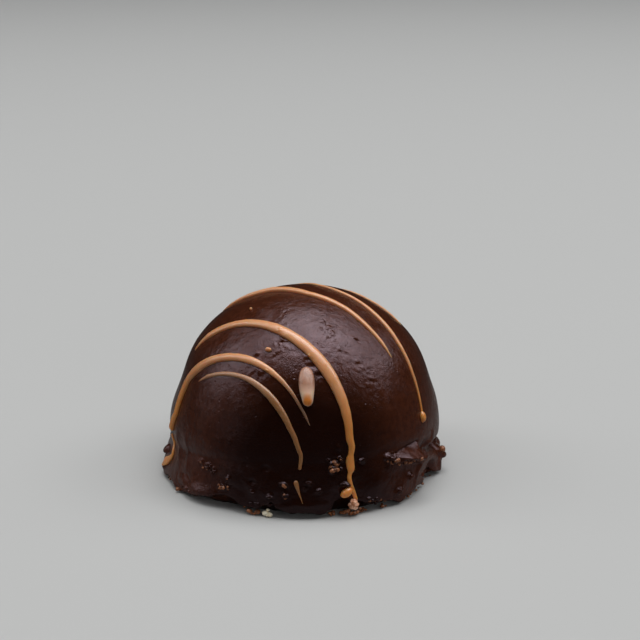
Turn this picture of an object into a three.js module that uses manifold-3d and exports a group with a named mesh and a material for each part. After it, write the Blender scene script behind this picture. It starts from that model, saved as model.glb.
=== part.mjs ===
// Glazed chocolate mousse cake. A half-sphere of mousse stands on a thin
// biscuit disc and is coated in dark chocolate, which is smooth over the dome
// and runs down below a crease into a lumpy skirt with a ragged hem. Caramel
// icing is piped over it in straight parallel strokes.
//
// Units are millimetres, +Z is up. The origin is the middle of the resting
// face, on the dome's axis. The front is -Y, azimuth 0 is the front and grows
// towards +X. Elevation is the angle above the dome centre's level.

import * as THREE from 'three';
import { mergeVertices } from 'three/addons/utils/BufferGeometryUtils.js';
import Module from 'manifold-3d';

const wasm = await Module();
wasm.setup();

// Dome
const DOME_RADIUS = 40;
const DOME_CENTRE = new THREE.Vector3(0, 0, 14);

// Crease between dome and skirt: it rises towards the front, where the skirt
// is tallest, and is deepest at the right-hand side
const CREASE_HEIGHT = 8.6;
const CREASE_RISE = 6.9;
const CREASE_SHARPNESS = 2.5;
const CREASE_HUMP = { azimuth: 42, across: 15, height: 2.6 };
const CREASE_DEPTH = 0.55;
const CREASE_SPREAD = 2.2;
const DEEP_CREASE = { azimuth: 86, across: 24, depth: 1.3, drop: 1.5 };

// Skirt and hem
const HEM_RADIUS = 41.5;
const HEM_LIFT = 1.3;
const HEM_MIN_LIFT = 0.35;
const HEM_ROLL_IN = 0.7;
const HEM_ROLL_DOWN = 0.23;
const SKIRT_BULGE = 0.35;

// Biscuit disc, its recess in the cake's underside, and the gap between them
const BASE_RADIUS = 35.6;
const BASE_THICKNESS = 3;
const BASE_EDGE = 0.6;
const BASE_WAVES = [11, 19];
const BASE_WAVE_HEIGHT = 0.2;
const GAP = 0.3;

// Icing
const ICING_GAP = 0.34;
const ICING_STEP = 3.8;
const ICING_ARCH = 5;
const ICING_HEIGHT_RATIO = 0.36;
const ICING_END_SHARE = 0.5;
const ICING_MIN_STEPS = 6;

// Mesh resolution
const COLUMNS = 84;
const DOME_ROWS = 9;
const SKIRT_ROWS = 6;
const CREASE_OFFSETS = [3, 1.2, 0, -1.2, -3];
const BASE_COLUMNS = 48;

const SEARCH_STEP = 0.5;

// Slow departures from the sphere: where the coating is thin or hollow, and
// where it gathers. Centre and reach are angles, height is outward.
const DOME_SWELLS = [
  { azimuth: -90, elevation: 20, across: 32, tall: 13, height: -1.5 },
  { azimuth: 92, elevation: 19, across: 26, tall: 11, height: -0.8 },
  { azimuth: 78, elevation: 46, across: 30, tall: 16, height: 0.4 },
  { azimuth: 175, elevation: 22, across: 34, tall: 14, height: -0.6 },
];

// Where the hem stands out or draws in, and how much more it is lifted there
const HEM_SWELLS = [
  { azimuth: -76, across: 20, height: 0.7, lift: -0.3 },
  { azimuth: -66, across: 6, height: 0.2, lift: 0.8 },
  { azimuth: -52, across: 10, height: 0.6, lift: -0.8 },
  { azimuth: -31.5, across: 5, height: 0, lift: 1.9 },
  { azimuth: -8.5, across: 5, height: 0, lift: 1.3 },
  { azimuth: 5, across: 8, height: -0.2, lift: 0.7 },
  { azimuth: 18, across: 7, height: -0.3, lift: 1.4 },
  { azimuth: 31, across: 7, height: -0.2, lift: 0.8 },
  { azimuth: 57, across: 7, height: -1, lift: 1.4 },
  { azimuth: 68, across: 8, height: -2.6, lift: 0.9 },
  { azimuth: 88, across: 9, height: -1.2, lift: -0.3 },
  { azimuth: 112, across: 14, height: 0.5, lift: 0.2 },
  { azimuth: 178, across: 24, height: 0.8, lift: -0.3 },
  { azimuth: -142, across: 10, height: -0.7, lift: 0.4 },
];

// Unevenness of the skirt and of the hem's lower edge: how many waves go
// round, how they twist with height, how strong they are and where they start
const SKIRT_WAVES = [
  { round: 9, twist: 0.35, strength: 0.2, start: 0.4 },
  { round: 17, twist: -0.7, strength: 0.18, start: 2.1 },
  { round: 29, twist: 1.1, strength: 0.12, start: 4.4 },
];
const HEM_WAVES = [
  { round: 5, strength: 0.1, start: 1.2 },
  { round: 13, strength: 0.14, start: 3.9 },
  { round: 23, strength: 0.12, start: 0.3 },
];

// Soft upright pleats where the coating folds at the left of the skirt
const PLEATS = { azimuth: -70, across: 14, round: 30, strength: 0.4 };

// Large lumps that stand out of the skirt: a ledge right of the front, and the
// cluster at the right-hand side with a hollow beside it
const LARGE_LUMPS = [
  { azimuth: 42, height: 14.8, across: 5.2, tall: 2.2, out: 2.9, sink: 0.6 },
  { azimuth: 34.5, height: 13.6, across: 2.3, tall: 1.6, out: 2, sink: 0.2 },
  { azimuth: 87, height: 7.8, across: 3, tall: 2, out: 2.4, sink: 1.5 },
  { azimuth: 82, height: 5.4, across: 2.8, tall: 2.2, out: 2.5, sink: 1.3 },
  { azimuth: 94, height: 5.2, across: 3.4, tall: 2.4, out: 2.8, sink: 2.1 },
  { azimuth: 76, height: 2.9, across: 1.9, tall: 2.3, out: 2.2, sink: 1.2 },
  { azimuth: -55, height: 4.2, across: 3.6, tall: 1.9, out: 2.4, sink: 1.2 },
  { azimuth: -40, height: 4.4, across: 4.6, tall: 1.8, out: 2.2, sink: 1.2 },
];

// Crumb lumps under the coating: bands of azimuth that they fill, kept clear
// of the icing that runs down the skirt
const CRUMB_BANDS = [
  { from: -32, to: -8, count: 5 },
  { from: 3, to: 11, count: 2 },
  { from: 26, to: 62, count: 5 },
  { from: 98, to: 150, count: 5 },
  { from: 172, to: 262, count: 8 },
];
const CRUMB_LUMP_SIZE = 2.5;
const CRUMB_LUMP_SIZE_SPREAD = 0.25;
const CRUMB_LUMP_SIZE_BEAT = 2.4;
const CRUMB_LUMP_LOW = 3.6;
const CRUMB_LUMP_HIGH = 11;
const CRUMB_LUMP_HEIGHT_BEAT = 1.9;
const CRUMB_LUMP_SHAPE = { across: 1, tall: 0.8, out: 0.9, sink: 0.5 };
const LUMP_SEGMENTS = 8;
const LUMP_RINGS = 6;
const PEBBLE_DETAIL = 1;

// Piped strokes. Each is an arc where a nearly upright plane cuts the dome:
// facing and lean turn the plane's normal, offset is its distance from the dome
// centre, and the angles run along the arc from its right-hand end (0) over
// the crest (90) to the left. A run goes on down the skirt from the right-hand
// end, through points of azimuth and height.
const STROKES = [
  {
    name: 'icing_stroke_1', facing: -34.4, lean: 1.2, offset: 33.6, from: 13, to: 128,
    widths: [1.6, 2, 1.9, 1.6, 1.3, 1.1, 1], run: [[-1, 18], [-0.9, 13.9]], runWidths: [1.3, 1],
  },
  {
    name: 'icing_stroke_2', facing: -33.8, lean: 5.8, offset: 32.3, from: 21, to: 184.5,
    widths: [0.6, 1.1, 1.7, 2.1, 2.3, 2.4, 2.4, 2.2, 2.4],
  },
  {
    name: 'icing_stroke_3', facing: -33.4, lean: 6.8, offset: 24.6, from: 9, to: 138,
    widths: [3.1, 3.4, 3.4, 3.1, 2.7, 2.3, 2.2, 1.6],
    run: [[19.8, 19.5], [18.9, 15.9], [18.9, 13.4], [18.2, 11.2], [19, 9.2], [20.5, 5.6]],
    runWidths: [2.3, 2.1, 2.6, 2.1, 1.8, 1.2],
  },
  {
    name: 'icing_stroke_4', facing: -29.7, lean: -0.4, offset: 3.8, from: 39, to: 130,
    widths: [0.7, 1.2, 1.6, 1.9, 1.9, 2.1, 1.9, 1.1],
  },
  {
    name: 'icing_stroke_5', facing: -34.6, lean: 9.9, offset: -0.7, from: 12, to: 148,
    widths: [1.7, 0.7, 1.1, 1.3, 1.3, 1.1, 1.3, 0.7],
  },
  {
    name: 'icing_stroke_6', facing: -34.5, lean: 10, offset: -10, from: 54, to: 161,
    widths: [0.7, 1, 1.1, 1.2, 1.5, 1.8, 1.6, 1.9],
  },
  {
    name: 'icing_stroke_7', facing: -33.5, lean: 7, offset: -21.5, from: 66, to: 150,
    widths: [1, 1.6, 2.1, 2.3, 2, 1.4, 0.7],
  },
  {
    name: 'icing_stroke_8', facing: -35, lean: 5, offset: -29.5, from: 10, to: 150,
    widths: [2.2, 2.5, 2.2, 1.9, 1.4, 0.8],
  },
  {
    name: 'icing_stroke_9', facing: -34.5, lean: 3, offset: -34.4, from: 38, to: 132,
    widths: [0.6, 1.2, 1.5, 1.2, 0.6],
  },
];

// Icing that lies apart from the strokes, along points of azimuth and height
const PATCHES = [
  {
    name: 'icing_dash', route: [[-3, 11], [-1.8, 8], [-0.3, 4.9]],
    widths: [0.8, 1.2, 1, 0.5],
  },
  {
    name: 'icing_side_run', route: [[-74, 13.4], [-72, 10.6], [-69.5, 8.2], [-72.5, 5.8], [-77, 4.4]],
    widths: [0.8, 1, 1.3, 2.3, 2.2],
  },
  {
    name: 'icing_drop', route: [[2, 39.4], [2, 35], [2, 30.6]],
    widths: [2.2, 4.3, 4.9, 4.9, 4.4, 2.4], heightRatio: 0.42,
  },
];

// Loose pebbles on the skirt: a blob of icing beside the longest run, and a
// biscuit crumb below the run's end
const ICING_BALL = { azimuth: 16, height: 7.2, across: 1.7, tall: 1.45, out: 1.1 };
const LARGE_CRUMB = { azimuth: 20.6, height: 2.8, across: 1.6, tall: 1.3, out: 1.2 };

const GLAZE = { color: 0x2a1511, roughness: 0.34, metalness: 0 };
const BISCUIT = { color: 0x6b4527, roughness: 0.9, metalness: 0 };
const ICING = { color: 0xc0885a, roughness: 0.48, metalness: 0 };

const radians = THREE.MathUtils.degToRad;

// Angle from one azimuth to another, between -180 and 180 degrees
function azimuthFrom(azimuth, centre) {
  return THREE.MathUtils.euclideanModulo(azimuth - centre + 180, 360) - 180;
}

function bell(distance, reach) {
  return Math.exp(-((distance / reach) ** 2));
}

// Unit vector from the dome centre
function direction(azimuth, elevation) {
  const a = radians(azimuth);
  const e = radians(elevation);
  return new THREE.Vector3(Math.sin(a) * Math.cos(e), -Math.cos(a) * Math.cos(e), Math.sin(e));
}

// Value at fraction f of the way through evenly spaced values
function along(values, f) {
  const place = THREE.MathUtils.clamp(f, 0, 1) * (values.length - 1);
  const index = Math.min(Math.floor(place), values.length - 2);
  return THREE.MathUtils.lerp(values[index], values[index + 1], place - index);
}

function creaseElevation(azimuth) {
  const towardsFront = (1 + Math.cos(radians(azimuth))) / 2;
  const hump = CREASE_HUMP.height * bell(azimuthFrom(azimuth, CREASE_HUMP.azimuth), CREASE_HUMP.across);
  const drop = DEEP_CREASE.drop * bell(azimuthFrom(azimuth, DEEP_CREASE.azimuth), DEEP_CREASE.across);
  const height = CREASE_HEIGHT + CREASE_RISE * towardsFront ** CREASE_SHARPNESS + hump - drop;
  return THREE.MathUtils.radToDeg(Math.asin((height - DOME_CENTRE.z) / DOME_RADIUS));
}

// Outermost point of the hem's lower edge, as radius and height
function hemEdge(azimuth) {
  let radius = HEM_RADIUS;
  let lift = HEM_LIFT;
  for (const swell of HEM_SWELLS) {
    const share = bell(azimuthFrom(azimuth, swell.azimuth), swell.across);
    radius += swell.height * share;
    lift += swell.lift * share;
  }
  for (const wave of HEM_WAVES) {
    lift += wave.strength * Math.sin(wave.round * radians(azimuth) + wave.start);
  }
  return { radius, height: Math.max(lift, HEM_MIN_LIFT) };
}

function hemElevation(azimuth) {
  const hem = hemEdge(azimuth);
  return THREE.MathUtils.radToDeg(Math.atan2(hem.height - DOME_CENTRE.z, hem.radius));
}

function domeSwell(azimuth, elevation) {
  let swell = 0;
  for (const s of DOME_SWELLS) {
    const across = azimuthFrom(azimuth, s.azimuth);
    swell += s.height * bell(across, s.across) * bell(elevation - s.elevation, s.tall);
  }
  return swell;
}

function skirtUnevenness(azimuth, elevation) {
  let sum = 0;
  for (const wave of SKIRT_WAVES) {
    sum += wave.strength * Math.sin(wave.round * radians(azimuth) + wave.twist * elevation + wave.start);
  }
  const fold = Math.sin(PLEATS.round * radians(azimuth));
  return sum + PLEATS.strength * fold * bell(azimuthFrom(azimuth, PLEATS.azimuth), PLEATS.across);
}

// Distance from the dome centre to the coating's outer surface
function glazeReach(azimuth, elevation) {
  const crease = creaseElevation(azimuth);
  const deep = DEEP_CREASE.depth * bell(azimuthFrom(azimuth, DEEP_CREASE.azimuth), DEEP_CREASE.across);
  const dip = (CREASE_DEPTH + deep) * bell(elevation - crease, CREASE_SPREAD);
  if (elevation >= crease) {
    return DOME_RADIUS + domeSwell(azimuth, elevation) - dip;
  }
  const hem = hemEdge(azimuth);
  const hemReach = Math.hypot(hem.radius, hem.height - DOME_CENTRE.z);
  const f = Math.min((crease - elevation) / (crease - hemElevation(azimuth)), 1);
  const top = DOME_RADIUS + domeSwell(azimuth, crease);
  const bulge = SKIRT_BULGE * Math.sin(Math.PI * f);
  const rough = skirtUnevenness(azimuth, elevation) * Math.sin(Math.PI * Math.sqrt(f));
  return THREE.MathUtils.lerp(top, hemReach, f) + bulge + rough - dip;
}

// Point at a distance outside the coating
function glazePoint(azimuth, elevation, outside = 0) {
  const reach = glazeReach(azimuth, elevation) + outside;
  return direction(azimuth, elevation).multiplyScalar(reach).add(DOME_CENTRE);
}

// Elevation at which the coating passes a height, found by stepping down
function elevationAtHeight(azimuth, height) {
  let elevation = 90;
  while (glazePoint(azimuth, elevation).z > height) {
    elevation -= SEARCH_STEP;
  }
  return elevation;
}

// Closed body through rings of equal point counts, with a point at each end
function closedBody(rings, firstPoint, lastPoint) {
  const count = rings[0].length;
  const positions = [firstPoint, ...rings.flat(), lastPoint].flatMap((p) => [p.x, p.y, p.z]);
  const last = rings.length * count + 1;
  const index = [];
  for (let i = 0; i < count; i += 1) {
    const next = (i + 1) % count;
    index.push(0, 1 + i, 1 + next);
    for (let r = 0; r < rings.length - 1; r += 1) {
      const a = 1 + r * count;
      const b = a + count;
      index.push(a + i, b + i, b + next, a + i, b + next, a + next);
    }
    const end = 1 + (rings.length - 1) * count;
    index.push(end + i, last, end + next);
  }
  const geometry = new THREE.BufferGeometry();
  geometry.setAttribute('position', new THREE.Float32BufferAttribute(positions, 3));
  geometry.setIndex(index);
  return geometry;
}

function solidFrom(geometry) {
  const bare = geometry.clone();
  bare.deleteAttribute('normal');
  bare.deleteAttribute('uv');
  const merged = mergeVertices(bare);
  const vertProperties = new Float32Array(merged.attributes.position.array);
  const triVerts = new Uint32Array(merged.index.array);
  return new wasm.Manifold(new wasm.Mesh({ numProp: 3, vertProperties, triVerts }));
}

function geometryFrom(solid) {
  const mesh = solid.getMesh();
  const geometry = new THREE.BufferGeometry();
  geometry.setAttribute('position', new THREE.Float32BufferAttribute(mesh.vertProperties, 3));
  geometry.setIndex([...mesh.triVerts]);
  return geometry;
}

function ringAt(columns, pointAt) {
  return Array.from({ length: columns }, (_, i) => pointAt((360 * i) / columns));
}

function cylinderPoint(azimuth, radius, height) {
  return direction(azimuth, 0).multiplyScalar(radius).setZ(height);
}

// Dome, crease and skirt, with the recess for the biscuit disc underneath
function coatedBody() {
  const rings = [];
  const topOffset = CREASE_OFFSETS[0];
  const bottomOffset = CREASE_OFFSETS[CREASE_OFFSETS.length - 1];
  for (let row = 1; row <= DOME_ROWS; row += 1) {
    const f = row / (DOME_ROWS + 1);
    rings.push(ringAt(COLUMNS, (azimuth) => {
      const low = creaseElevation(azimuth) + topOffset;
      return glazePoint(azimuth, THREE.MathUtils.lerp(90, low, f));
    }));
  }
  for (const offset of CREASE_OFFSETS) {
    rings.push(ringAt(COLUMNS, (azimuth) => glazePoint(azimuth, creaseElevation(azimuth) + offset)));
  }
  for (let row = 1; row <= SKIRT_ROWS; row += 1) {
    const f = row / SKIRT_ROWS;
    rings.push(ringAt(COLUMNS, (azimuth) => {
      const high = creaseElevation(azimuth) + bottomOffset;
      return glazePoint(azimuth, THREE.MathUtils.lerp(high, hemElevation(azimuth), f));
    }));
  }
  const recess = BASE_RADIUS + GAP;
  const ceiling = BASE_THICKNESS + GAP;
  rings.push(ringAt(COLUMNS, (azimuth) => {
    const hem = hemEdge(azimuth);
    return cylinderPoint(azimuth, hem.radius - HEM_ROLL_IN, hem.height - HEM_ROLL_DOWN);
  }));
  rings.push(ringAt(COLUMNS, (azimuth) => cylinderPoint(azimuth, recess, hemEdge(azimuth).height)));
  rings.push(ringAt(COLUMNS, (azimuth) => cylinderPoint(azimuth, recess, ceiling)));
  return closedBody(rings, glazePoint(0, 90), new THREE.Vector3(0, 0, ceiling));
}

// Ellipsoid half sunk in the skirt
function lumpSolid({ azimuth, height, across, tall, out, sink }) {
  const geometry = new THREE.SphereGeometry(1, LUMP_SEGMENTS, LUMP_RINGS);
  const middle = glazePoint(azimuth, elevationAtHeight(azimuth, height), -sink);
  geometry.rotateX(Math.PI / 2);
  geometry.scale(across, out, tall);
  geometry.rotateZ(radians(azimuth));
  geometry.translate(middle.x, middle.y, middle.z);
  return solidFrom(geometry);
}

// Crumb lumps spread over each band, stepping up and down the skirt
function crumbLumps() {
  const lumps = [];
  for (const band of CRUMB_BANDS) {
    for (let i = 0; i < band.count; i += 1) {
      const swing = Math.sin(CRUMB_LUMP_SIZE_BEAT * lumps.length);
      const size = CRUMB_LUMP_SIZE * (1 + CRUMB_LUMP_SIZE_SPREAD * swing);
      const climb = (1 + Math.sin(CRUMB_LUMP_HEIGHT_BEAT * lumps.length)) / 2;
      lumps.push({
        azimuth: THREE.MathUtils.lerp(band.from, band.to, (i + 0.5) / band.count),
        height: THREE.MathUtils.lerp(CRUMB_LUMP_LOW, CRUMB_LUMP_HIGH, climb),
        across: size * CRUMB_LUMP_SHAPE.across,
        tall: size * CRUMB_LUMP_SHAPE.tall,
        out: size * CRUMB_LUMP_SHAPE.out,
        sink: size * CRUMB_LUMP_SHAPE.sink,
      });
    }
  }
  return lumps;
}

function glazedCake() {
  let solid = solidFrom(coatedBody());
  for (const lump of [...LARGE_LUMPS, ...crumbLumps()]) {
    solid = solid.add(lumpSolid(lump));
  }
  return geometryFrom(solid);
}

function biscuitBase() {
  const edge = (azimuth) => BASE_WAVES.reduce(
    (radius, round) => radius + BASE_WAVE_HEIGHT * (Math.sin(round * radians(azimuth)) - 1),
    BASE_RADIUS,
  );
  const ring = (inset, height) => ringAt(
    BASE_COLUMNS,
    (azimuth) => cylinderPoint(azimuth, edge(azimuth) - inset, height),
  );
  const rings = [
    ring(BASE_EDGE, BASE_THICKNESS),
    ring(0, BASE_THICKNESS - BASE_EDGE),
    ring(0, BASE_EDGE),
    ring(BASE_EDGE, 0),
  ];
  return closedBody(rings, new THREE.Vector3(0, 0, BASE_THICKNESS), new THREE.Vector3());
}

// Azimuth and elevation of points along a stroke's arc, left end first
function arcRoute({ facing, lean, offset, from, to }) {
  const normal = direction(facing, lean);
  const side = new THREE.Vector3().crossVectors(normal, new THREE.Vector3(0, 0, 1)).normalize();
  if (side.x < 0) {
    side.negate();
  }
  const upward = new THREE.Vector3().crossVectors(side, normal).normalize();
  if (upward.z < 0) {
    upward.negate();
  }
  const tilt = offset / DOME_RADIUS;
  const spread = Math.sqrt(1 - tilt * tilt);
  const count = Math.ceil((radians(to - from) * spread * DOME_RADIUS) / ICING_STEP);
  return Array.from({ length: count + 1 }, (_, i) => {
    const angle = radians(THREE.MathUtils.lerp(to, from, i / count));
    return normal.clone().multiplyScalar(tilt)
      .addScaledVector(side, spread * Math.cos(angle))
      .addScaledVector(upward, spread * Math.sin(angle));
  });
}

function routeLength(route) {
  return route.slice(1).reduce((sum, vector, i) => sum + vector.distanceTo(route[i]), 0);
}

// Unit vectors through points of azimuth and height on the coating
function heightRoute(points) {
  return points.map(([azimuth, height]) => direction(azimuth, elevationAtHeight(azimuth, height)));
}

function anglesOf(vector) {
  return {
    azimuth: THREE.MathUtils.radToDeg(Math.atan2(vector.x, -vector.y)),
    elevation: THREE.MathUtils.radToDeg(Math.asin(vector.z / vector.length())),
  };
}

// Evenly spaced places on the coating along a route of unit vectors
function placesAlong(route) {
  const curve = new THREE.CatmullRomCurve3(route, false, 'centripetal');
  const count = Math.max(Math.round((curve.getLength() * DOME_RADIUS) / ICING_STEP), ICING_MIN_STEPS);
  return curve.getSpacedPoints(count).map((vector) => {
    const { azimuth, elevation } = anglesOf(vector);
    const point = glazePoint(azimuth, elevation, ICING_GAP);
    const beside = glazePoint(azimuth + 1, elevation, ICING_GAP).sub(point);
    const below = glazePoint(azimuth, elevation - 1, ICING_GAP).sub(point);
    return { point, normal: below.cross(beside).normalize() };
  });
}

// Ribbon with a flat underside and an arched top, following the coating
function icingBody(route, widthAt, heightRatio) {
  const places = placesAlong(route);
  const rings = places.map(({ point, normal }, i) => {
    const before = places[Math.max(i - 1, 0)].point;
    const after = places[Math.min(i + 1, places.length - 1)].point;
    const side = new THREE.Vector3().subVectors(after, before).cross(normal).normalize();
    const atEnd = i === 0 || i === places.length - 1;
    const width = widthAt(i / (places.length - 1)) * (atEnd ? ICING_END_SHARE : 1);
    return Array.from({ length: ICING_ARCH + 1 }, (_, k) => {
      const angle = (Math.PI * k) / ICING_ARCH;
      return point.clone()
        .addScaledVector(side, 0.5 * width * Math.cos(angle))
        .addScaledVector(normal, heightRatio * width * Math.sin(angle));
    });
  });
  const middle = (ring) => ring[0].clone().lerp(ring[ICING_ARCH], 0.5);
  return closedBody(rings, middle(rings[0]), middle(rings[rings.length - 1]));
}

// Stroke over the dome, left end first, with its run down the skirt
function strokeBody(stroke) {
  const arc = arcRoute(stroke);
  const arcWidths = [...stroke.widths].reverse();
  if (!stroke.run) {
    return icingBody(arc, (f) => along(arcWidths, f), ICING_HEIGHT_RATIO);
  }
  const run = heightRoute(stroke.run);
  const runWidths = [...arcWidths.slice(-1), ...stroke.runWidths];
  const arcShare = routeLength(arc) / routeLength([...arc, ...run]);
  const widthAt = (f) => (f <= arcShare
    ? along(arcWidths, f / arcShare)
    : along(runWidths, (f - arcShare) / (1 - arcShare)));
  return icingBody([...arc, ...run], widthAt, ICING_HEIGHT_RATIO);
}

function patchBody(patch) {
  const widthAt = (f) => along(patch.widths, f);
  return icingBody(heightRoute(patch.route), widthAt, patch.heightRatio ?? ICING_HEIGHT_RATIO);
}

// Pebble that touches the coating from outside
function pebbleBody({ azimuth, height, across, tall, out }) {
  const middle = glazePoint(azimuth, elevationAtHeight(azimuth, height), ICING_GAP + out);
  return new THREE.IcosahedronGeometry(1, PEBBLE_DETAIL)
    .scale(across, out, tall)
    .rotateZ(radians(azimuth))
    .translate(middle.x, middle.y, middle.z);
}

const cake = new THREE.Group();

function addPiece(name, geometry, finish) {
  const mesh = new THREE.Mesh(geometry, new THREE.MeshStandardMaterial(finish));
  mesh.name = name;
  cake.add(mesh);
}

addPiece('glazed_cake', glazedCake(), GLAZE);
addPiece('biscuit_base', biscuitBase(), BISCUIT);
for (const stroke of STROKES) {
  addPiece(stroke.name, strokeBody(stroke), ICING);
}
for (const patch of PATCHES) {
  addPiece(patch.name, patchBody(patch), ICING);
}
addPiece('icing_ball', pebbleBody(ICING_BALL), ICING);
addPiece('biscuit_crumb', pebbleBody(LARGE_CRUMB), BISCUIT);

export default cake;
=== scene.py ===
"""Looks of a glazed chocolate mousse cake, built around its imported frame.

A half-sphere of mousse stands on a thin biscuit disc under a coat of dark chocolate. The coat is smooth
over the dome and runs down below a crease into an uneven skirt with a ragged hem. Caramel icing is piped
over it in straight strokes, and biscuit crumbs stick to the skirt and the hem.

Shapes are worked out in millimetres and degrees and written to the meshes in metres. Azimuth 0 is the
front (-Y) and grows towards +X. Elevation is the angle above the level of the dome's centre. Places on
the coating are given by azimuth and height above the ground.
"""

import logging
import math
from dataclasses import dataclass, field, replace
from enum import Enum, IntEnum
from itertools import product

import bmesh
import bpy
import numpy as np
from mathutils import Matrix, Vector


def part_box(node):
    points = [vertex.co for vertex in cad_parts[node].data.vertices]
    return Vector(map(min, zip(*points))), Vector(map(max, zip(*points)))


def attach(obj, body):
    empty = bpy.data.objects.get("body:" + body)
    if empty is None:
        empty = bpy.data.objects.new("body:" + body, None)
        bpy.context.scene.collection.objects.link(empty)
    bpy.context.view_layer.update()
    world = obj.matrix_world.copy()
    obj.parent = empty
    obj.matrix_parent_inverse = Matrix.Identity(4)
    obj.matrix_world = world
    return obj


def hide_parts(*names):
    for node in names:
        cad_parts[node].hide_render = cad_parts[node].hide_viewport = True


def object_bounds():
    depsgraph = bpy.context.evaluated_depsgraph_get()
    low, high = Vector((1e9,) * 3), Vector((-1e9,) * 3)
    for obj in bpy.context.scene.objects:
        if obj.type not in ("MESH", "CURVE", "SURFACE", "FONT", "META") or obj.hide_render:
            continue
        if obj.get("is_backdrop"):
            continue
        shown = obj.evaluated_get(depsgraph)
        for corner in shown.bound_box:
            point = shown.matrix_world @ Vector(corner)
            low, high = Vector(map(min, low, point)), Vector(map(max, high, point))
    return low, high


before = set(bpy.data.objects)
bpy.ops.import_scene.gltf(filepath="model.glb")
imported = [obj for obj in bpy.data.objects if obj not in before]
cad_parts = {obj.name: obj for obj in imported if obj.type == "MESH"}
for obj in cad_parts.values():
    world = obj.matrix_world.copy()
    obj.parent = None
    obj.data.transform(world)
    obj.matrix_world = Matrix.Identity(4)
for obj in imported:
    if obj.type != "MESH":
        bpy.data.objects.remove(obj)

LOG = logging.getLogger("mousse_cake")

Array = np.ndarray
Random = np.random.Generator
Piece = bpy.types.Object
Material = bpy.types.Material
Socket = bpy.types.NodeSocket
Faces = list[tuple[int, ...]]
Triple = tuple[float, float, float]
Colour = tuple[float, float, float]
Row = tuple[float, ...]

MM = 0.001
BODY = "root"
RESTING_HEIGHT = 0.03
TURN = 360.0
SKIRT_RADIUS = 41.0
DOME_RING = 35.0
SCATTER = 0.6
LOW_SIDE, POLE = -35.0, 90.0


class Slot(Enum):
    """The record's material slots."""

    GLAZE = "chocolate_glaze"
    ICING = "caramel_icing"
    BISCUIT = "biscuit"


class Tip(Enum):
    """How a piped line ends."""

    ROUND = "round"
    THIN = "thin"


class Seed(IntEnum):
    """Seeds of the separate draws, so that none of them changes another."""

    FEATURES = 5
    UNEVENNESS = 11
    HEM = 23
    ICING = 31
    POKING_CRUMBS = 41
    HEM_CRUMBS = 43
    COATED_CRUMBS = 47
    DISC = 67


# ---- Angles and profiles ----


def azimuth_from(azimuth: Array, centre: float) -> Array:
    """Angle from one azimuth to another, between -180 and 180 degrees."""
    return (azimuth - centre + TURN / 2) % TURN - TURN / 2


def bell(distance: Array, reach: float) -> Array:
    """Soft bump that is 1 at no distance and nearly gone at twice the reach."""
    return np.exp(-((distance / reach) ** 2))


def ramp(value: Array, start: float, end: float) -> Array:
    """Smooth step from 0 at start to 1 at end; start may be the larger one."""
    share = np.clip((value - start) / (end - start), 0, 1)
    return share * share * (3 - 2 * share)


def direction(azimuth: Array, elevation: Array) -> Array:
    """Unit vectors from the dome centre.

    Args:
        azimuth: Degrees round the axis.
        elevation: Degrees above the centre's level.

    Returns:
        Vectors with x, y and z along the last axis.
    """
    a, e = np.radians(azimuth), np.radians(elevation)
    return np.stack([np.sin(a) * np.cos(e), -np.cos(a) * np.cos(e), np.sin(e) + 0 * a], axis=-1)


def angles_of(vectors: Array) -> tuple[Array, Array]:
    """Azimuth and elevation of unit vectors, in degrees."""
    azimuth = np.degrees(np.arctan2(vectors[..., 0], -vectors[..., 1]))
    return azimuth, np.degrees(np.arcsin(np.clip(vectors[..., 2], -1, 1)))


def unit(vectors: Array) -> Array:
    """The vectors at length one."""
    return vectors / np.linalg.norm(vectors, axis=-1, keepdims=True)


class SmoothNoise:
    """Gradient noise in space, the same on every run."""

    TABLE = 256
    GAIN = 1.6

    def __init__(self, seed: int) -> None:
        """Draws the table of slopes.

        Args:
            seed: Seed of the draws.
        """
        rng = np.random.default_rng(seed)
        self.order = rng.permutation(self.TABLE)
        self.slopes = unit(rng.normal(size=(self.TABLE, 3)))

    def at(self, points: Array, size: float) -> Array:
        """Noise at points.

        Args:
            points: Positions in millimetres, one per row.
            size: Distance over which the noise changes.

        Returns:
            One value per point, mostly between -1 and 1.
        """
        place = points / size
        cell = np.floor(place).astype(int)
        local = place - cell
        fade = local**3 * (local * (local * 6 - 15) + 10)
        total = np.zeros(len(points))
        for corner in product((0, 1), repeat=3):
            key = (cell + corner) % self.TABLE
            index = self.order[key[:, 0]]
            index = self.order[(index + key[:, 1]) % self.TABLE]
            index = self.order[(index + key[:, 2]) % self.TABLE]
            weight = np.prod(np.where(corner, fade, 1 - fade), axis=1)
            total += weight * np.einsum("ij,ij->i", self.slopes[index], local - corner)
        return self.GAIN * total

    def waves(self, points: Array, rows: tuple[Row, ...]) -> Array:
        """Noise in several waves, each with a strength, a size and a shift aside, added up."""
        return sum(strength * self.at(points + shift, size) for strength, size, shift in rows)


# ---- The coating's form ----


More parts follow.
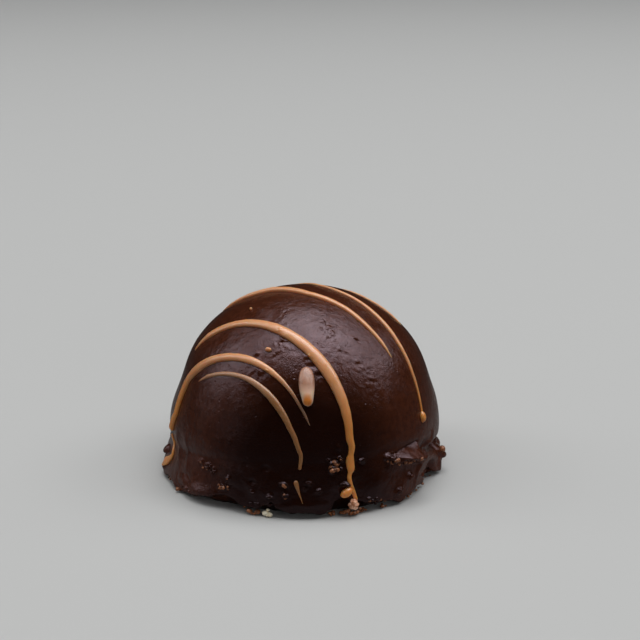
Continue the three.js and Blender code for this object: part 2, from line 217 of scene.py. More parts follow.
@dataclass(frozen=True)
class CoatingForm:
    """The coating's outer surface, as a distance from the dome centre in each direction."""

    centre_height: float
    radius: float = 40.0
    crease_height: float = 8.6
    crease_rise: float = 6.9
    crease_sharpness: float = 2.5
    hump_azimuth: float = 42.0
    hump_across: float = 15.0
    hump_height: float = 2.6
    crease_depth: float = 0.55
    crease_spread: float = 2.2
    shallow_azimuth: float = -6.0
    shallow_across: float = 60.0
    shallow_share: float = 0.96
    deep_azimuth: float = 86.0
    deep_across: float = 22.0
    deep_depth: float = 2.4
    deep_drop: float = 1.5
    hem_radius: float = 41.5
    hem_least_lift: float = 0.35
    skirt_bulge: float = 0.35
    skirt_bend: float = 1.6
    halvings: int = 30
    # Azimuth, elevation, reach across, reach up and height of each slow swell or hollow of the dome
    dome_swells: tuple[Row, ...] = (
        (-90, 20, 32, 13, -1.5), (92, 19, 26, 11, -0.8), (78, 46, 30, 16, 0.4), (175, 22, 34, 14, -0.6),
    )
    # Azimuth, reach and height of each stretch where the hem stands out or draws in
    hem_swells: tuple[Row, ...] = (
        (-76, 20, 1.0), (-60, 4, 0.5), (-48, 9, 0.6), (-33, 5, -0.4), (-12.4, 3, -0.3), (14, 5, -0.5),
        (57, 7, -1.0), (68, 7, -2.6), (88, 9, -1.6), (112, 14, 0.5), (178, 24, 0.8), (-142, 10, -0.7),
    )
    # Azimuth and height of each turning point of the hem's edge
    hem_lifts: tuple[Row, ...] = (
        (-180, 1.0), (-160, 1.5), (-142, 1.8), (-118, 0.7), (-98, 1.4), (-78, 0.4), (-67, 2.1),
        (-63, 1.6), (-58.5, 0.35), (-54.5, 1.3), (-48, 2.0), (-40.5, 3.1), (-33, 4.5), (-29.5, 4.2),
        (-24, 2.7), (-18, 2.3), (-14.8, 3.6), (-12.2, 4.5), (-9.8, 2.8), (-6.5, 1.9), (0, 1.7), (8, 1.5),
        (10.2, 2.1), (12.4, 4.7), (15, 5.2), (19, 4.5), (25, 3.5), (31, 2.9), (36.4, 2.0), (41, 0.8),
        (45, 1.9), (52, 2.8), (58, 2.6), (62, 4.2), (69, 4.4), (74.5, 1.6), (80, 0.8), (92, 1.0),
        (112, 1.6), (128, 0.8), (150, 1.5), (180, 1.0),
    )
    # How many ripples go round, how strong they are, where they start and how they twist
    skirt_waves: tuple[Row, ...] = ((9, 0.16, 0.4, 0.35), (17, 0.12, 2.1, -0.4))
    hem_waves: tuple[Row, ...] = ((13, 0.08, 3.9), (23, 0.08, 0.3))

    def centre(self) -> Array:
        """The dome's centre."""
        return np.array([0.0, 0.0, self.centre_height])

    def crease_elevation(self, azimuth: Array) -> Array:
        """Elevation of the crease below the dome.

        Args:
            azimuth: Degrees round the axis.

        Returns:
            The crease's elevation at each azimuth.
        """
        towards_front = (1 + np.cos(np.radians(azimuth))) / 2
        hump = self.hump_height * bell(azimuth_from(azimuth, self.hump_azimuth), self.hump_across)
        height = self.crease_height + self.crease_rise * towards_front**self.crease_sharpness + hump
        height -= self.deep_drop * bell(azimuth_from(azimuth, self.deep_azimuth), self.deep_across)
        return np.degrees(np.arcsin((height - self.centre_height) / self.radius))

    def hem_edge(self, azimuth: Array) -> tuple[Array, Array]:
        """The hem's lower edge, whose height goes softly from each turning point to the next.

        Args:
            azimuth: Degrees round the axis.

        Returns:
            Its radius and its height at each azimuth.
        """
        radius = np.full_like(azimuth, self.hem_radius)
        for place, across, height in self.hem_swells:
            radius += height * bell(azimuth_from(azimuth, place), across)
        around = azimuth_from(azimuth, 0)
        places, lifts = np.array(self.hem_lifts, float).T
        before = np.clip(np.searchsorted(places, around) - 1, 0, len(places) - 2)
        share = (around - places[before]) / (places[before + 1] - places[before])
        lift = lifts[before] + (lifts[before + 1] - lifts[before]) * share**2 * (3 - 2 * share)
        for count, strength, start in self.hem_waves:
            lift += strength * np.sin(count * np.radians(azimuth) + start)
        return radius, np.maximum(lift, self.hem_least_lift)

    def hem_elevation(self, azimuth: Array) -> Array:
        """Elevation of the hem's lower edge."""
        radius, height = self.hem_edge(azimuth)
        return np.degrees(np.arctan2(height - self.centre_height, radius))

    def dome_reach(self, azimuth: Array, elevation: Array) -> Array:
        """Distance from the dome centre to the dome with its swells.

        Args:
            azimuth: Degrees round the axis.
            elevation: Degrees above the centre's level.

        Returns:
            One distance for each pair of angles.
        """
        total = np.zeros_like(azimuth)
        for place, level, across, tall, height in self.dome_swells:
            total += height * bell(azimuth_from(azimuth, place), across) * bell(elevation - level, tall)
        return self.radius + total

    def skirt_ripple(self, azimuth: Array, elevation: Array) -> Array:
        """Even ripples of the skirt.

        Args:
            azimuth: Degrees round the axis.
            elevation: Degrees above the centre's level.

        Returns:
            The rise for each pair of angles.
        """
        total = np.zeros_like(azimuth)
        for count, strength, start, twist in self.skirt_waves:
            total += strength * np.sin(count * np.radians(azimuth) + twist * elevation + start)
        return total

    def reach(self, azimuth: Array, elevation: Array) -> Array:
        """Distance from the dome centre to the coating.

        Args:
            azimuth: Degrees round the axis.
            elevation: Degrees above the centre's level.

        Returns:
            One distance for each pair of angles.
        """
        crease = self.crease_elevation(azimuth)
        deep = self.deep_depth * bell(azimuth_from(azimuth, self.deep_azimuth), self.deep_across)
        shallow = bell(azimuth_from(azimuth, self.shallow_azimuth), self.shallow_across)
        depth = self.crease_depth * (1 - self.shallow_share * shallow) + deep
        dip = depth * bell(elevation - crease, self.crease_spread)
        dome = self.dome_reach(azimuth, elevation)
        radius, height = self.hem_edge(azimuth)
        hem_reach = np.hypot(radius, height - self.centre_height)
        down = np.clip((crease - elevation) / (crease - self.hem_elevation(azimuth)), 0, 1)
        top = self.dome_reach(azimuth, crease)
        bulge = self.skirt_bulge * np.sin(math.pi * down)
        ripple = self.skirt_ripple(azimuth, elevation) * np.sin(math.pi * down)
        skirt = top + (hem_reach - top) * down**self.skirt_bend + bulge + ripple
        return np.where(elevation >= crease, dome, skirt) - dip

    def elevation_at(self, azimuth: Array, height: Array) -> Array:
        """Elevation at which the coating passes a height, found by halving.

        Args:
            azimuth: Degrees round the axis.
            height: Millimetres above the ground.

        Returns:
            The elevation for each pair.
        """
        azimuth, height = np.broadcast_arrays(np.asarray(azimuth, float), np.asarray(height, float))
        low, high = np.full_like(azimuth, LOW_SIDE), np.full_like(azimuth, POLE)
        for _ in range(self.halvings):
            middle = (low + high) / 2
            reach = self.reach(azimuth, middle)
            above = self.centre_height + reach * np.sin(np.radians(middle)) > height
            low, high = np.where(above, low, middle), np.where(above, middle, high)
        return middle

    def toward(self, azimuth: Array, height: Array) -> Array:
        """Unit vectors from the dome centre to places on the coating."""
        azimuth = np.asarray(azimuth, float)
        return direction(azimuth, self.elevation_at(azimuth, height))


# ---- Relief on the coating ----


@dataclass(frozen=True)
class Feature:
    """Something that raises or sinks the coating round one place."""

    azimuth: float
    height: float

    fade = 2.6  # reaches of a soft edge after which nothing is left of it

    def span(self) -> float:
        """Distance from its place beyond which it changes nothing."""
        raise NotImplementedError

    def rise_at(self, right: Array, up: Array) -> Array:
        """How far it raises the coating.

        Args:
            right: Millimetres to the right of its place.
            up: Millimetres above its place.

        Returns:
            The rise at each point.
        """
        raise NotImplementedError


@dataclass(frozen=True)
class Oval(Feature):
    """A feature with an oval outline."""

    across: float
    tall: float

    def outline(self, right: Array, up: Array, turn: float) -> Array:
        """Distance from the middle, as a share of the outline's.

        Args:
            right: Millimetres to the right of its place.
            up: Millimetres above its place.
            turn: How far the oval is turned, in degrees.

        Returns:
            The share at each point.
        """
        a = math.radians(turn)
        u = (right * math.cos(a) + up * math.sin(a)) / self.across
        v = (up * math.cos(a) - right * math.sin(a)) / self.tall
        return np.hypot(u, v)


@dataclass(frozen=True)
class Lump(Oval):
    """A rounded lump under the coating: an ellipsoid, partly sunk, with a soft fillet at its foot."""

    out: float
    sink: float = 0.1
    turn: float = 0.0
    fillet: float = 0.35

    def span(self) -> float:
        """Distance from its place beyond which it changes nothing."""
        return 2 * max(self.across, self.tall) + self.fillet

    def rise_at(self, right: Array, up: Array) -> Array:
        """How far the lump raises the coating.

        Args:
            right: Millimetres to the right of its place.
            up: Millimetres above its place.

        Returns:
            The rise at each point.
        """
        rho = self.outline(right, up, self.turn)
        rise = self.out * np.sqrt(np.maximum(1 - rho**2, 0)) - self.sink
        rise -= 2 * self.out * np.maximum(rho - 1, 0)
        blended = np.clip(rise + self.fillet, 0, None) ** 2 / (4 * self.fillet)
        return np.where(rise > self.fillet, rise, blended)


@dataclass(frozen=True)
class Pit(Oval):
    """A dent, soft at power 2 and steep-walled above it."""

    depth: float
    power: float = 2.0
    turn: float = 0.0

    def span(self) -> float:
        """Distance from its place beyond which it changes nothing."""
        return self.fade * max(self.across, self.tall)

    def rise_at(self, right: Array, up: Array) -> Array:
        """How far the dent sinks the coating, as a fall below zero."""
        return -self.depth * np.exp(-(self.outline(right, up, self.turn) ** self.power))


@dataclass(frozen=True)
class Fold(Feature):
    """A ridge, or a furrow where its rise is below zero, along a path given in mm right and up."""

    path: tuple[tuple[float, float], ...]
    width: float
    rise: float

    taper_ends = (0.04, 0.96)

    def span(self) -> float:
        """Distance from its place beyond which it changes nothing."""
        return max(math.hypot(*point) for point in self.path) + self.fade * self.width

    def rise_at(self, right: Array, up: Array) -> Array:
        """How far the ridge raises the coating.

        Args:
            right: Millimetres to the right of its place.
            up: Millimetres above its place.

        Returns:
            The rise at each point.
        """
        points = np.array(self.path, float)
        steps = np.diff(points, axis=0)
        lengths = np.hypot(steps[:, 0], steps[:, 1])
        starts = np.concatenate([[0], np.cumsum(lengths)])
        best, share = np.full(len(right), np.inf), np.zeros(len(right))
        for start, step, length, before in zip(points, steps, lengths, starts):
            along = ((right - start[0]) * step[0] + (up - start[1]) * step[1]) / length**2
            along = np.clip(along, 0, 1)
            away = np.hypot(right - start[0] - along * step[0], up - start[1] - along * step[1])
            nearer = away < best
            best = np.where(nearer, away, best)
            share = np.where(nearer, (before + along * length) / starts[-1], share)
        taper = np.sqrt(np.clip(np.sin(math.pi * np.clip(share, *self.taper_ends)), 0, 1))
        return self.rise * taper * bell(best, self.width)


@dataclass(frozen=True)
class Ledge(Feature):
    """A shelf where the coating gathered: a groove, then a smooth slope out to a rounded lip."""

    left: float
    right: float
    groove_rise: float
    groove_depth: float
    lip_level: float
    lip_slope: float
    out: float
    fall: float

    least_length, full_length = 0.7, 2.6
    groove_edge, groove_share = 0.15, 0.5
    lip_rounding = -0.2
    side_fades = (-1.6, 0.8, 0.6)
    margin = 4.0

    def span(self) -> float:
        """Distance from its place beyond which it changes nothing."""
        return max(-self.left, self.right) + self.margin

    def rise_at(self, right: Array, up: Array) -> Array:
        """How far the shelf raises the coating.

        Args:
            right: Millimetres to the right of its place.
            up: Millimetres above its place.

        Returns:
            The rise at each point.
        """
        groove = self.groove_rise * right
        below = groove - up
        length = np.maximum(groove - self.lip_level - self.lip_slope * right, self.least_length)
        out = self.out * np.minimum(length / self.full_length, 1)
        slope = ramp(below, 0, self.groove_edge) * -self.groove_depth
        slope = slope * ramp(below / length, self.groove_share, 0) + out * np.clip(below / length, 0, 1)
        lip = out * ramp(below - length, self.fall, self.lip_rounding * self.fall)
        shelf = np.where(below < length, slope, lip)
        start, full, end = self.side_fades
        sides = ramp(right, self.left + start, self.left + full)
        sides = sides * ramp(right, self.right + end, self.right)
        return np.where(below > 0, shelf, 0) * sides


@dataclass(frozen=True)
class Spot:
    """A place on the coating, with its level and upward directions."""

    toward: Array
    right: Array
    up: Array
    reach: float

    def near(self, directions: Array, distance: float) -> Array:
        """Which of the directions pass within a distance of the place."""
        return np.flatnonzero(directions @ self.toward > math.cos(distance / self.reach))

    def offsets(self, directions: Array) -> tuple[Array, Array]:
        """Millimetres to the right of the place and above it."""
        return self.reach * (directions @ self.right), self.reach * (directions @ self.up)


class Relief:
    """The coating with its unevenness, folds, lumps and dents.

    Calm spots have an azimuth, an elevation and a size; waves have a strength, a size and a shift.
    """

    calm_spots = ((46.0, 1.5, 7.0), (-43.0, -12.0, 6.0), (0.0, 4.0, 12.0), (-58.0, -3.0, 9.0))
    calm_share = 0.9
    dome_waves = ((0.07, 9.0, 0), (0.025, 3.4, 40))
    skirt_waves = ((0.18, 4.6, 80), (0.1, 2.1, 120), (0.05, 0.95, 160))
    skirt_start = (1.5, -3.5)

    def __init__(self, form: CoatingForm, features: list[Feature]) -> None:
        """Finds the features' places on the form.

        Args:
            form: The coating's outer form.
            features: What stands out of it or is sunk in it.
        """
        self.form = form
        self.noise = SmoothNoise(Seed.UNEVENNESS)
        azimuth = np.array([f.azimuth for f in features], float)
        height = np.array([f.height for f in features], float)
        elevation = form.elevation_at(azimuth, height)
        toward = direction(azimuth, elevation)
        right = direction(azimuth + 90, 0 * elevation)
        reach = form.reach(azimuth, elevation)
        self.placed = [
            (feature, Spot(toward[i], right[i], np.cross(toward[i], right[i]), float(reach[i])))
            for i, feature in enumerate(features)
        ]

    def unevenness(self, points: Array, azimuth: Array, elevation: Array) -> Array:
        """Irregular waves: faint on the dome, stronger down the skirt.

        Args:
            points: Places on the form.
            azimuth: Their azimuths.
            elevation: Their elevations.

        Returns:
            The rise at each place.
        """
        skirt = ramp(elevation - self.form.crease_elevation(azimuth), *self.skirt_start)
        calm = np.ones_like(azimuth)
        for spot_azimuth, spot_elevation, size in self.calm_spots:
            away = np.hypot(azimuth_from(azimuth, spot_azimuth), elevation - spot_elevation)
            calm -= self.calm_share * bell(away, size)
        rough = self.noise.waves(points, self.skirt_waves)
        return self.noise.waves(points, self.dome_waves) + np.maximum(calm, 0) * skirt * rough

    def reach(self, directions: Array) -> Array:
        """Distance from the dome centre to the coating.

        Args:
            directions: Unit vectors, one per row.

        Returns:
            The distance in each direction.
        """
        azimuth, elevation = angles_of(directions)
        reach = self.form.reach(azimuth, elevation)
        points = self.form.centre() + directions * reach[:, None]
        reach += self.unevenness(points, azimuth, elevation)
        for feature, spot in self.placed:
            near = spot.near(directions, feature.span())
            if len(near):
                reach[near] += feature.rise_at(*spot.offsets(directions[near]))
        return reach

    def points(self, directions: Array, outside: float | Array = 0.0) -> Array:
        """Points on the coating, or a distance outside it."""
        reach = self.reach(directions) + outside
        return self.form.centre() + directions * reach[:, None]


def crumb_cluster(rng: Random, azimuth: float, height: float, across: float, tall: float, count: int,
                  size: float) -> list[Feature]:
    """Small lumps crowded round one place.

    Args:
        rng: Source of the seeded draws.
        azimuth: The middle's azimuth.
        height: The middle's height.
        across: Half the cluster's width, in millimetres.
        tall: Half its height.
        count: How many lumps.
        size: The lumps' usual radius.

    Returns:
        The lumps.
    """
    lumps = []
    for _ in range(count):
        turn, out = rng.uniform(0, 2 * math.pi), math.sqrt(rng.uniform(0, 1))
        radius = size * rng.uniform(0.6, 1.35)
        lumps.append(Lump(
            azimuth + math.degrees(across * out * math.cos(turn) / SKIRT_RADIUS),
            height + tall * out * math.sin(turn), across=radius, tall=radius * rng.uniform(0.65, 1.0),
            out=radius * rng.uniform(0.55, 0.95), sink=0.3 * radius, turn=rng.uniform(-60, 60),
            fillet=0.22,
        ))
    return lumps


def coating_features() -> list[Feature]:
    """Everything that stands out of the coating or is sunk in it.

    Returns:
        The features, with the large ones first.
    """
    rng = np.random.default_rng(Seed.FEATURES)
    features = [
        Ledge(44, 15.6, -4.6, 6.6, 0.12, 0.9, -2.3, -0.26, 2.9, 2.2),
        Pit(60, 12.2, 1.5, 2.6, 0.9, 3),
        Fold(57, 9.5, ((8.4, 5.4), (6.8, 3.4), (1.6, 2.4), (-1.1, 0.4), (-3.4, -1.8), (-4.6, -4.8)),
             1.0, 0.9),
        Fold(-63, 12.4, ((-2.4, 4.2), (-1.4, 1), (0.4, -2.4), (0.6, -4.4)), 1.3, 0.35),
        Fold(-55, 12.4, ((-2, 4.4), (-0.8, 1), (0.6, -2.6), (0.8, -4.6)), 1.0, 0.25),
        Fold(-43, 3.3, ((-7, -0.5), (-2.5, 0.1), (2.4, 0.3), (6.4, 1.0)), 1.6, 1.1),
        Fold(-2, 3.4, ((-6, -0.8), (-3.5, 0), (0, 1.0), (3, 0.5), (7.5, 0.5)), 0.9, 0.5),
        *(Lump(*row) for row in (
            (85, 9.3, 1.7, 1.1, 1.6, 0.3, 0, 0.5), (82, 7.4, 3.2, 2.9, 2.4, 0.4, 0, 0.6),
            (81, 4.9, 2.0, 1.6, 1.4, 0.5, 0, 0.5), (94, 6.2, 3.0, 2.4, 2.2, 1.0, 0, 0.8),
            (78, 2.9, 1.7, 2.7, 1.1, 0.4, 0, 0.4),
        )),
        Pit(66, 3.4, 3.4, 3.0, 2.4, 4),
        *(Lump(*row) for row in (
            (-55, 4.2, 3.6, 1.9, 1.8, 1.2, 0, 0.8), (-81.5, 6.8, 1.7, 1.3, 1.6, 0.2, 0, 0.4),
            (35.4, 14.8, 1.4, 1.0, 1.3, 0.1, 10), (37.6, 13.7, 1.5, 1.0, 1.4, 0.2, -15),
            (40.8, 12.8, 1.5, 0.6, 0.9, 0.2), (44.6, 12.0, 1.4, 0.5, 0.7, 0.2, 8),
            (46.4, 7.3, 1.3, 1.1, 1.0), (39.7, 4.3, 1.9, 1.0, 1.0, 0.2, 20, 0.5),
            (-8.2, 10.0, 0.8, 0.6, 0.8), (-6.4, 9.6, 0.7, 0.6, 0.7), (-7.0, 7.2, 0.8, 0.9, 0.8),
            (-12.6, 6.5, 1.1, 0.8, 0.8, 0.1, 20), (-19.8, 6.8, 0.9, 0.8, 0.7),
            (2.4, 10.4, 1.0, 0.9, 0.8), (6.0, 8.2, 0.9, 0.9, 0.8, 0.1, 30),
            (23.7, 15.2, 1.2, 0.9, 0.8, 0.1, -20), (-30.3, 9.6, 0.8, 0.7, 0.8), (14.0, 19.6, 0.8, 1.0, 0.6),
            (15.8, 9.4, 1.6, 0.9, 1.1, 0.2), (-38, 19.9, 1.1, 0.4, 0.25, 0.0, -8),
            (-35, 19.6, 0.7, 0.5, 0.3, 0.0, -30), (-31, 20, 0.8, 0.5, 0.3, 0.0, 10),
        )),
        Pit(-20.1, 9.7, 1.0, 0.8, 0.5, 3),
        Pit(-14.7, 13.7, 1.6, 1.0, 0.4, 3),
    ]
    for row in (
        (14.7, 17, 1.3, 1.2, 6, 0.7), (12.3, 14.5, 1.5, 1.8, 11, 0.72), (-43, 11.4, 3.2, 0.9, 15, 0.6),
        (-39, 10.4, 2.8, 1.2, 12, 0.55), (-32.8, 6.3, 2.0, 1.2, 10, 0.5), (3, 9, 4.0, 1.6, 6, 0.5),
        (88, 6.0, 2.2, 2.0, 10, 0.4), (112, 6.5, 5, 2.4, 13, 0.75), (131, 5, 7, 2.4, 13, 0.75),
        (158, 6, 6, 2.4, 13, 0.75), (186, 4.6, 8, 2.4, 13, 0.75), (212, 5.6, 6, 2.4, 13, 0.75),
        (236, 5, 7, 2.4, 13, 0.75), (256, 4.6, 5, 2.4, 13, 0.75),
    ):
        features += crumb_cluster(rng, *row)
    return [*features, *far_side_lumps(rng), *flakes(), *wrinkles_and_dents(rng)]


def far_side_lumps(rng: Random, count: int = 60) -> list[Feature]:
    """Single lumps scattered over the sides and the back of the skirt.

    Args:
        rng: Source of the seeded draws.
        count: How many lumps.

    Returns:
        The lumps.
    """
    lumps = []
    for _ in range(count):
        radius = rng.uniform(0.5, 1.5)
        lumps.append(Lump(rng.uniform(98, 290), rng.uniform(2.5, 9.5), across=radius, tall=0.8 * radius,
                          out=0.5 * radius, sink=0.2 * radius, turn=rng.uniform(-40, 40)))
    return lumps


def flakes() -> list[Feature]:
    """Small flakes of the dome's coating, each with a dent below it.

    Returns:
        The flakes and their dents.
    """
    marks = []
    for azimuth, height, size, turn in (
        (21.9, 43.4, 1.0, 40), (23.4, 42.8, 0.8, -30), (35.3, 44.9, 1.0, -35), (30, 40.2, 1.0, 25),
        (31.6, 39.8, 0.7, -50), (33.7, 35.6, 1.1, -20), (35.4, 35.2, 0.7, 30), (2.1, 41.9, 1.2, 0),
        (3.1, 40.9, 1.3, 4), (6.9, 38.7, 1.2, -12), (-4.2, 40.1, 0.6, 20), (-16.7, 42.4, 0.9, 50),
        (-14.9, 43.0, 0.9, 0), (-27.3, 42, 1.1, -8), (-25.3, 38.4, 0.9, 30), (-22.8, 38.1, 0.9, -40),
        (-20.7, 38, 0.8, 30), (-18.4, 38.6, 0.7, -20),
    ):
        marks.append(Lump(azimuth, height + 0.3 * size, across=0.8 * size, tall=0.35 * size,
                          out=0.4 * size, sink=0.05, turn=turn, fillet=0.12))
        marks.append(Pit(azimuth + size, height - 0.4 * size, across=0.8 * size, tall=0.4 * size,
                         depth=0.24 * size, power=3, turn=turn))
    return marks


def wrinkles_and_dents(rng: Random, dents: int = 90) -> list[Feature]:
    """Wrinkles crowded at some places of the dome, and faint dents all over it.

    Args:
        rng: Source of the seeded draws.
        dents: How many dents.

    Returns:
        The marks.
    """
    marks = []
    for azimuth, height, across, tall, count in (
        (-16.5, 46.1, 2.4, 1.8, 16), (-12.1, 44.7, 2.0, 1.4, 12), (16.5, 48.2, 2.6, 1.4, 14),
        (19.8, 47.0, 1.6, 1.6, 10), (-23, 38.2, 2.6, 0.8, 8), (33, 38, 3.0, 3.0, 10),
    ):
        for _ in range(count):
            u, v = rng.normal(0, SCATTER, 2)
            size = rng.uniform(0.4, 0.8)
            place = azimuth + math.degrees(u * across / DOME_RING)
            marks.append(Lump(place, height + v * tall, across=size, tall=0.45 * size, out=0.3 * size,
                              sink=0.03, turn=rng.uniform(-70, 70), fillet=0.1))
    for _ in range(dents):
        size = rng.uniform(0.35, 0.8)
        marks.append(Pit(rng.uniform(-180, 180), rng.uniform(18, 52), across=size,
                         tall=size * rng.uniform(0.5, 0.9), depth=rng.uniform(0.05, 0.14), power=3,
                         turn=rng.uniform(-40, 40)))
    return marks


# ---- Meshes ----


def ring_faces(upper: int, upper_count: int, lower: int, lower_count: int) -> Faces:
    """Faces between two rings of points, where one may have twice the other's count.

    Args:
        upper: Index of the upper ring's first point.
        upper_count: How many points it has.
        lower: Index of the lower ring's first point.
        lower_count: How many points it has.

    Returns:
        Faces that point away from the axis.
    """
    faces: Faces = []
    if upper_count == lower_count:
        for i in range(upper_count):
            j = (i + 1) % upper_count
            faces.append((upper + i, lower + i, lower + j, upper + j))
    elif upper_count < lower_count:
        for i in range(upper_count):
            j, k = (i + 1) % upper_count, (2 * i + 2) % lower_count
            faces.append((upper + i, lower + 2 * i, lower + 2 * i + 1))
            faces.append((upper + i, lower + 2 * i + 1, upper + j))
            faces.append((upper + j, lower + 2 * i + 1, lower + k))
    else:
        faces = [face[::-1] for face in ring_faces(lower, lower_count, upper, upper_count)]
    return faces


def closed_faces(counts: list[int]) -> Faces:
    """Faces of a closed body: a point, rings of points, and a last point.

    Args:
        counts: How many points each ring has.

    Returns:
        The body's faces.
    """
    faces: Faces = []
    starts = [1 + sum(counts[:i]) for i in range(len(counts))]
    first, last = counts[0], counts[-1]
    for i in range(first):
        faces.append((0, 1 + i, 1 + (i + 1) % first))
    for (start, count), (below, below_count) in zip(zip(starts, counts), zip(starts[1:], counts[1:])):
        faces += ring_faces(start, count, below, below_count)
    end = starts[-1] + last
    for i in range(last):
        faces.append((starts[-1] + i, end, starts[-1] + (i + 1) % last))
    return faces


def mesh_object(name: str, points: Array, faces: Faces) -> Piece:
    """A smooth-shaded mesh object.

    Args:
        name: The piece's name.
        points: Vertices in millimetres.
        faces: Vertex indices of each face.

    Returns:
        The object, linked to the scene.
    """
    mesh = bpy.data.meshes.new(name)
    mesh.from_pydata((np.asarray(points) * MM).tolist(), [], faces)
    mesh.validate()
    mesh.shade_smooth()
    piece = bpy.data.objects.new(name, mesh)
    bpy.context.scene.collection.objects.link(piece)
    return piece


def dressed(piece: Piece, slot: Slot, finish: Material, *nodes: str) -> Piece:
    """Gives a piece its finish and ties it to the frame.

    Args:
        piece: The finished mesh object.
        slot: The record's material slot.
        finish: Its material.
        *nodes: The solids that it stands for.

    Returns:
        The piece.
    """
    piece.data.materials.append(finish)
    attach(piece, BODY)
    if nodes:
        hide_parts(*nodes)
    LOG.info("%s: %d faces, %s", piece.name, len(piece.data.polygons), slot.value)
    return piece


@dataclass
class CoatedCake:
    """The mousse under its coat of chocolate, with the ragged hem rolled under.

    Each dome zone has its lowest elevation, its rows, and how many of the columns share one point.
    """

    relief: Relief
    columns: int = 864
    crowding: float = 0.3
    skirt_rows: int = 52
    skirt_top: float = 3.0
    dome_zones: tuple[tuple[float, int, int], ...] = ((50, 56, 2), (70, 24, 4), (81, 14, 8), (87, 8, 16))
    roll_rows: int = 5
    roll_in: float = 1.2
    roll_down: float = 0.3
    foot_in: float = 3.4
    foot_height: float = 0.08
    recess_radius: float = 35.8
    least_wall: float = 0.5
    recess_ceiling: float = 3.3
    ragged_lift: float = 0.4
    ragged_waves: tuple[Row, ...] = ((1.0, 2.6, 0), (0.6, 1.1, 50))
    foot_waves: tuple[Row, ...] = ((0.3, 1.6, 0), (0.2, 0.8, 30))
    foot_steps: tuple[float, ...] = (0.35, 0.7, 1.0)
    least_gap: float = 0.05
    noise: SmoothNoise = field(default_factory=lambda: SmoothNoise(Seed.HEM))

    def azimuths(self, share: int) -> Array:
        """Azimuths of one ring's points, closer together at the front."""
        even = np.arange(0, self.columns, share) * TURN / self.columns
        return even - self.crowding * np.degrees(np.sin(np.radians(even)))

    def hem(self, azimuth: Array) -> Array:
        """Elevation of the ragged hem.

        Args:
            azimuth: Degrees round the axis.

        Returns:
            The hem's elevation at each azimuth.
        """
        around = direction(azimuth, 0 * azimuth) * SKIRT_RADIUS
        lift = self.ragged_lift * self.noise.waves(around, self.ragged_waves)
        radius, height = self.relief.form.hem_edge(azimuth)
        height = np.maximum(height + lift, self.relief.form.hem_least_lift)
        return np.degrees(np.arctan2(height - self.relief.form.centre_height, radius))

    def outer_rings(self) -> list[Array]:
        """Directions of the rings from the pole down to the hem.

        Returns:
            One row of unit vectors for each point of each ring.
        """
        form = self.relief.form
        rings = []
        upper = POLE
        for lower, rows, share in reversed(self.dome_zones):
            azimuth = self.azimuths(share)
            for row in range(1, rows + 1):
                level = upper + (lower - upper) * row / rows
                rings.append(direction(azimuth, np.full_like(azimuth, level)))
            upper = lower
        azimuth = self.azimuths(2)
        _, rows, _ = self.dome_zones[0]
        for row in range(1, rows):
            top = form.crease_elevation(azimuth) + self.skirt_top
            rings.append(direction(azimuth, upper + (top - upper) * row / rows))
        azimuth = self.azimuths(1)
        top, hem = form.crease_elevation(azimuth) + self.skirt_top, self.hem(azimuth)
        for row in range(self.skirt_rows + 1):
            rings.append(direction(azimuth, top + (hem - top) * row / self.skirt_rows))
        return rings

    def under_rings(self, rim: Array) -> list[Array]:
        """Points of the rings from the hem's edge inward, down to the foot and up into the recess.

        Args:
            rim: Points of the hem's edge.

        Returns:
            The rings, outermost first.
        """
        outward = unit(rim * [1, 1, 0])
        rings = []
        for row in range(1, self.roll_rows + 1):
            turn = math.pi * row / self.roll_rows
            inward = self.roll_in / 2 * (1 - math.cos(turn))
            down = np.minimum(self.roll_down, rim[:, 2] - self.least_gap) * math.sin(turn)
            ring = rim - outward * inward
            ring[:, 2] -= down
            rings.append(ring)
        edge = rings[-1][::2]
        radius = np.linalg.norm(edge[:, :2], axis=1)
        inside = np.maximum(radius - self.foot_in, self.recess_radius + self.least_wall)
        foot = outward[::2] * np.minimum(inside, radius)[:, None]
        foot[:, 2] = self.foot_height
        for share in self.foot_steps:
            ring = edge + (foot - edge) * share
            rings.append(ring + outward[::2] * self.noise.waves(ring, self.foot_waves)[:, None])
        inner = outward[::2] * self.recess_radius
        low, high = inner + [0, 0, self.foot_height], inner + [0, 0, self.recess_ceiling]
        return [*rings, low, high]

    def build(self, finish: Material) -> Piece:
        """Makes the coated cake and puts it in place of its solid.

        Args:
            finish: The chocolate.

        Returns:
            The piece.
        """
        rings = self.outer_rings()
        outer = self.relief.points(np.concatenate(rings))
        under = self.under_rings(outer[-self.columns:])
        pole = self.relief.points(np.array([[0.0, 0.0, 1.0]]))
        ceiling = np.array([[0.0, 0.0, self.recess_ceiling]])
        points = np.concatenate([pole, outer, *under, ceiling])
        counts = [len(ring) for ring in [*rings, *under]]
        piece = mesh_object("chocolate_coating", points, closed_faces(counts))
        return dressed(piece, Slot.GLAZE, finish, "glazed_cake")


# ---- Piped icing ----


CURVE_SAMPLES = 16
LEAST_STEPS = 12


